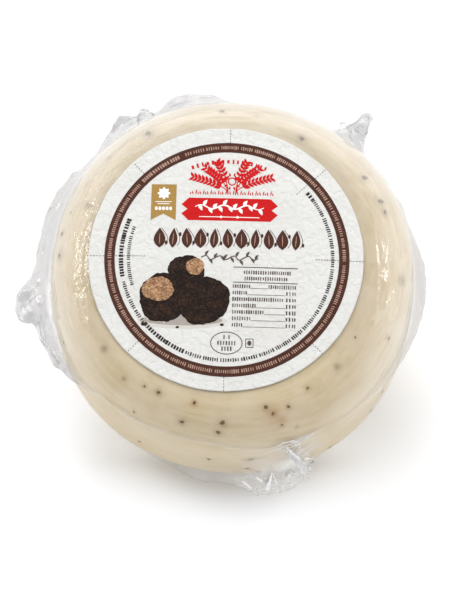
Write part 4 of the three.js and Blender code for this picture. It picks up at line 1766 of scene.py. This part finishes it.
# Strips of film: the twist in front with its bright folds and loop, the folds of the skirt and of the loose
# corners. Each is a name, places along it as angle, radius and height, its widths, its twist in degrees from
# end to end, how hard it is crushed, its seed, and how milky it is and how much it veils
STRIPS = [
    ("front_twist",
     [(-73.7, 68.2, 58.4), (-73.1, 68.6, 56), (-71.9, 70.3, 47.3), (-70.3, 71.2, 40.9), (-68.4, 72.2, 28),
      (-67.0, 72.6, 14)], [0.8, 1.8, 2.4, 2.6, 3.2, 2.6], 60, 0.3, 3, 0.26, 0.25),
    ("front_twist_right",
     [(-73.3, 68.6, 59), (-72.3, 69.9, 53.6), (-71.2, 70.7, 49), (-69.8, 71.5, 43.2), (-68.2, 72.0, 35.7),
      (-66.6, 72.0, 16)], [0.5, 1.0, 1.1, 1.2, 1.1, 0.6], 190, 0.16, 5, 0.5, 0.2),
    ("front_twist_left",
     [(-72.9, 69.7, 53.9), (-71.6, 71.4, 44.3), (-69.9, 72.3, 36.9), (-68.6, 73.2, 25)],
     [0.4, 0.8, 1.2, 0.8], -150, 0.16, 7, 0.34, 0.2),
    ("front_twist_loop",
     [(-69.4, 71.3, 41.7), (-68.3, 71.1, 42.4), (-66.7, 70.8, 39.6), (-64.9, 70.4, 32.9), (-63.9, 69.9, 23),
      (-65.2, 70.6, 23.9), (-66.3, 71.4, 24.1), (-65.4, 71.5, 16)],
     [0.5, 1.0, 1.2, 1.3, 1.2, 1.1, 1.2, 0.7], -200, 0.14, 9, 0.36, 0.25),
    ("front_gather_high",
     [(-76.3, 67.8, 60.7), (-74.3, 67.4, 61.4), (-72.1, 67.5, 61.0), (-70.5, 67.8, 60.3)],
     [0.3, 0.7, 0.6, 0.3], 50, 0.08, 11, 0.5, 0.1),
    ("front_gather_low",
     [(-78, 68.4, 57.9), (-75.4, 68.4, 58), (-72.5, 68.1, 59.1), (-69.3, 68.1, 59.2), (-66.6, 67.9, 59.8),
      (-64.5, 67.6, 61)], [0.3, 0.8, 0.9, 0.8, 0.8, 0.4], 80, 0.1, 13, 0.5, 0.1),
    ("front_gather_branch",
     [(-73, 68.8, 57.1), (-71, 68.6, 57.9), (-69.4, 68.8, 56.6), (-69.7, 69.8, 52.6), (-71.1, 70.5, 48.6)],
     [0.4, 0.8, 0.9, 0.8, 0.4], 120, 0.12, 15, 0.3, 0.15),
    ("skirt_wedge",
     [(-79.8, 74.6, 23), (-79.3, 73.8, 30), (-78.2, 72.1, 39)], [1.9, 1.3, 0.3], 30, 0.1, 17, 0.6, 0.1),
    ("skirt_wedge_right",
     [(-78.0, 72.2, 36.7), (-77.4, 73.5, 29.8), (-77.1, 74.2, 24.6)], [0.4, 0.8, 0.7], 70, 0.1, 19, 0.3, 0.2),
    ("skirt_fold_left",
     [(-90, 71.1, 31.2), (-87, 71.8, 29.8), (-84.6, 73.4, 23.1), (-82.6, 74.2, 21.8)],
     [0.3, 0.6, 0.8, 0.4], 60, 0.08, 21, 0.55, 0.1),
    ("skirt_fold_high",
     [(-87.8, 71.2, 34.7), (-85.4, 71.7, 35.5), (-83, 72.2, 35.5), (-81.5, 73.1, 32.2), (-80.3, 74.3, 25.1)],
     [0.3, 0.6, 0.9, 1.0, 0.5], 70, 0.08, 23, 0.5, 0.1),
    ("skirt_fold_right",
     [(-74.4, 73.7, 28.2), (-73.6, 73.2, 30.2), (-72.7, 72.9, 31.8), (-71.4, 73.0, 30.3)],
     [0.5, 1.1, 1.2, 0.5], 90, 0.14, 25, 0.5, 0.1),
    ("ear_fold",
     [(-174.7, 80.0, 47.2), (-173.9, 78.0, 47.4), (-173.4, 76.2, 47.4), (-174.8, 74.4, 47.8),
      (-175.4, 73, 48)],
     [0.3, 0.6, 0.6, 0.7, 0.3], 40, 0.08, 27, 0.7, 0.0),
    ("frill_fold",
     [(-166.1, 73.3, 48.6), (-162.8, 73.8, 48.4), (-159.7, 73.0, 48.6), (-156.4, 72.2, 49),
      (-153.1, 71.6, 49.6)], [0.4, 0.9, 0.7, 0.9, 0.4], 120, 0.12, 29, 0.25, 0.5),
    ("back_left_fold",
     [(121, 69, 54), (119.6, 71.5, 55), (118, 73.4, 55.6), (116, 72.2, 55), (115, 70, 54)],
     [0.8, 1.2, 1.3, 1.2, 0.8], 60, 0.1, 31, 0.1, 0.5),
    ("back_right_loop",
     [(53.6, 72.4, 56), (52.5, 74.4, 56), (52.2, 77, 56), (52.1, 79.4, 56), (51.2, 80.6, 56),
      (49.8, 80.5, 56), (49.2, 78.8, 56), (48.8, 76.7, 56), (47.9, 74.5, 56), (48.5, 73, 56)],
     [0.8, 1.1, 1.3, 1.8, 2.0, 1.8, 1.3, 1.2, 1.4, 0.9], 90, 0.12, 33, 0.06, 0.4),
    ("back_right_knot",
     [(55.6, 70.3, 54), (56, 72.4, 54), (55.2, 73.6, 54.5), (54.2, 73, 55), (52.1, 72, 55.5),
      (51.4, 70.4, 55), (49.6, 69.6, 54.5)], [0.7, 1.0, 1.1, 1.2, 1.2, 1.1, 0.7], 140, 0.14, 35, 0.06, 0.35),
    ("back_right_web",
     [(52.7, 74.1, 56.4), (51.4, 72.8, 56.4), (49.8, 73, 56.4), (51.1, 73.9, 56.6), (50.9, 75.9, 56.6),
      (49.7, 75.9, 56.4)], [0.5, 0.8, 0.9, 0.9, 0.8, 0.5], 120, 0.1, 37, 0.06, 0.35),
]

make_film()
for strip in STRIPS:
    make_strip(*strip)


# The studio

FLOOR_HALF = 3000.0
FLOOR_DROP = 0.02
# The floor glows a little, more in front of the cheese than behind it: painted light that lifts the floor's
# shading in front. What follows is in metres, as the floor's material reads it.
PAINTED_GLOW_IN_FRONT = 0.34
PAINTED_GLOW_BEHIND = 0.14
# Painted soft shadows at the cheese's foot: the middle of each, how far it reaches and how much of the glow
# it takes
PAINTED_FLOOR_SHADOWS = [((0.055, -0.039), 0.028, 0.74), ((-0.045, -0.051), 0.016, 0.50)]
# A painted ring of shadow in front, where the cheese meets the floor: its radius and how far it reaches
PAINTED_CONTACT_SHADOW_RADIUS = 0.0637
PAINTED_CONTACT_SHADOW_REACH = 0.0104


def make_floor_material():
    material, tree, shader, place = new_material("pale_floor_painted_shadows")
    cloudy = noise_at(tree, place, 3.0, 2.0, 0.5)
    tone = mix_colours(tree, cloudy, (0.83, 0.83, 0.83, 1.0), (0.86, 0.86, 0.86, 1.0))
    x, y, z = place.parts()
    # Painted light and shadow: an emission that is brighter in front, dimmed by painted soft shadows and a
    # painted contact shadow round the cheese's foot
    painted_floor_light = y.ramp(-0.035, 0.05, PAINTED_GLOW_IN_FRONT, PAINTED_GLOW_BEHIND)
    for (middle_x, middle_y), reach, share in PAINTED_FLOOR_SHADOWS:
        away = ((x - middle_x) ** 2.0 + (y - middle_y) ** 2.0) / (reach * reach)
        painted_floor_light = painted_floor_light * (1.0 - away.falloff() * share)
    past_painted_contact_shadow = (from_axis(x, y) - PAINTED_CONTACT_SHADOW_RADIUS) * (1 / PAINTED_CONTACT_SHADOW_REACH)
    painted_contact_shadow = (past_painted_contact_shadow * past_painted_contact_shadow).falloff() * y.ramp(-0.060, -0.049, 1.0, 0.0)
    painted_floor_light = painted_floor_light * (1.0 - painted_contact_shadow)
    set_sockets(shader, Base_Color=tone, Roughness=0.9)
    set_sockets(shader, Emission_Color=(0.94, 1.0, 1.11, 1.0), Emission_Strength=painted_floor_light)
    return material


def make_floor():
    corners = [(-1, -1), (1, -1), (1, 1), (-1, 1)]
    points = [(x * FLOOR_HALF, y * FLOOR_HALF, -FLOOR_DROP) for x, y in corners]
    make_piece("floor", points, [(0, 1, 2, 3)], make_floor_material(), False)


# The studio's light: a tent that is dim all round, its bright panels, each with its angle round the cheese,
# elevation, half width in degrees and brightness, and two softboxes, each with its angle, elevation, width,
# height and power. Both softboxes face one place and stand equally far from the origin, in metres.
TENT_LIGHT = 0.21
PANELS = [
    ("high behind", 95, 50, 50, 0.90),
    ("low behind", 85, 16, 60, 1.12),
    ("low right", 4, 18, 60, 1.58),
    ("low left", 165, 17, 47, 1.42),
    ("low in front", -90, 8, 60, 0.58),
    ("low front left", -140, 12, 50, 0.50),
]
SOFTBOXES = [
    ("left_softbox", 153, 50, 0.30, 0.30, 1.7),
    ("right_softbox", 27, 50, 0.1, 0.3, 0.7),
]
SOFTBOX_AIM = (0.0, 0.0, 0.05)
SOFTBOX_AWAY = 1.3


def way_to(angle, elevation):
    turn, lift = math.radians(angle), math.radians(elevation)
    return math.cos(turn) * math.cos(lift), math.sin(turn) * math.cos(lift), math.sin(lift)


def make_softbox(name, angle, elevation, width, height, power):
    data = bpy.data.lights.new(name, "AREA")
    data.shape = "RECTANGLE"
    data.size = width
    data.size_y = height
    data.energy = power
    lamp = bpy.data.objects.new(name, data)
    link(lamp)
    lamp.location = Vector(way_to(angle, elevation)) * SOFTBOX_AWAY
    turn_to(lamp, SOFTBOX_AIM)


def make_world():
    """The tent with its panels, each brightest in its middle."""
    world = bpy.data.worlds.new("studio")
    world.use_nodes = True
    tree = world.node_tree
    way = node_value(tree, "ShaderNodeTexCoord", "Generated")
    light = TENT_LIGHT
    for name, angle, elevation, half_width, brightness in PANELS:
        panel = way.dot(way_to(angle, elevation)).ramp(math.cos(math.radians(half_width)), 1.0)
        light = panel * brightness + light
    back = tree.nodes["Background"]
    back.inputs["Color"].default_value = (1.0, 0.995, 0.985, 1.0)
    plug(tree, light, back.inputs["Strength"])
    bpy.context.scene.world = world


make_floor()
make_world()
for softbox in SOFTBOXES:
    make_softbox(*softbox)
bpy.context.scene.view_settings.view_transform = "Standard"
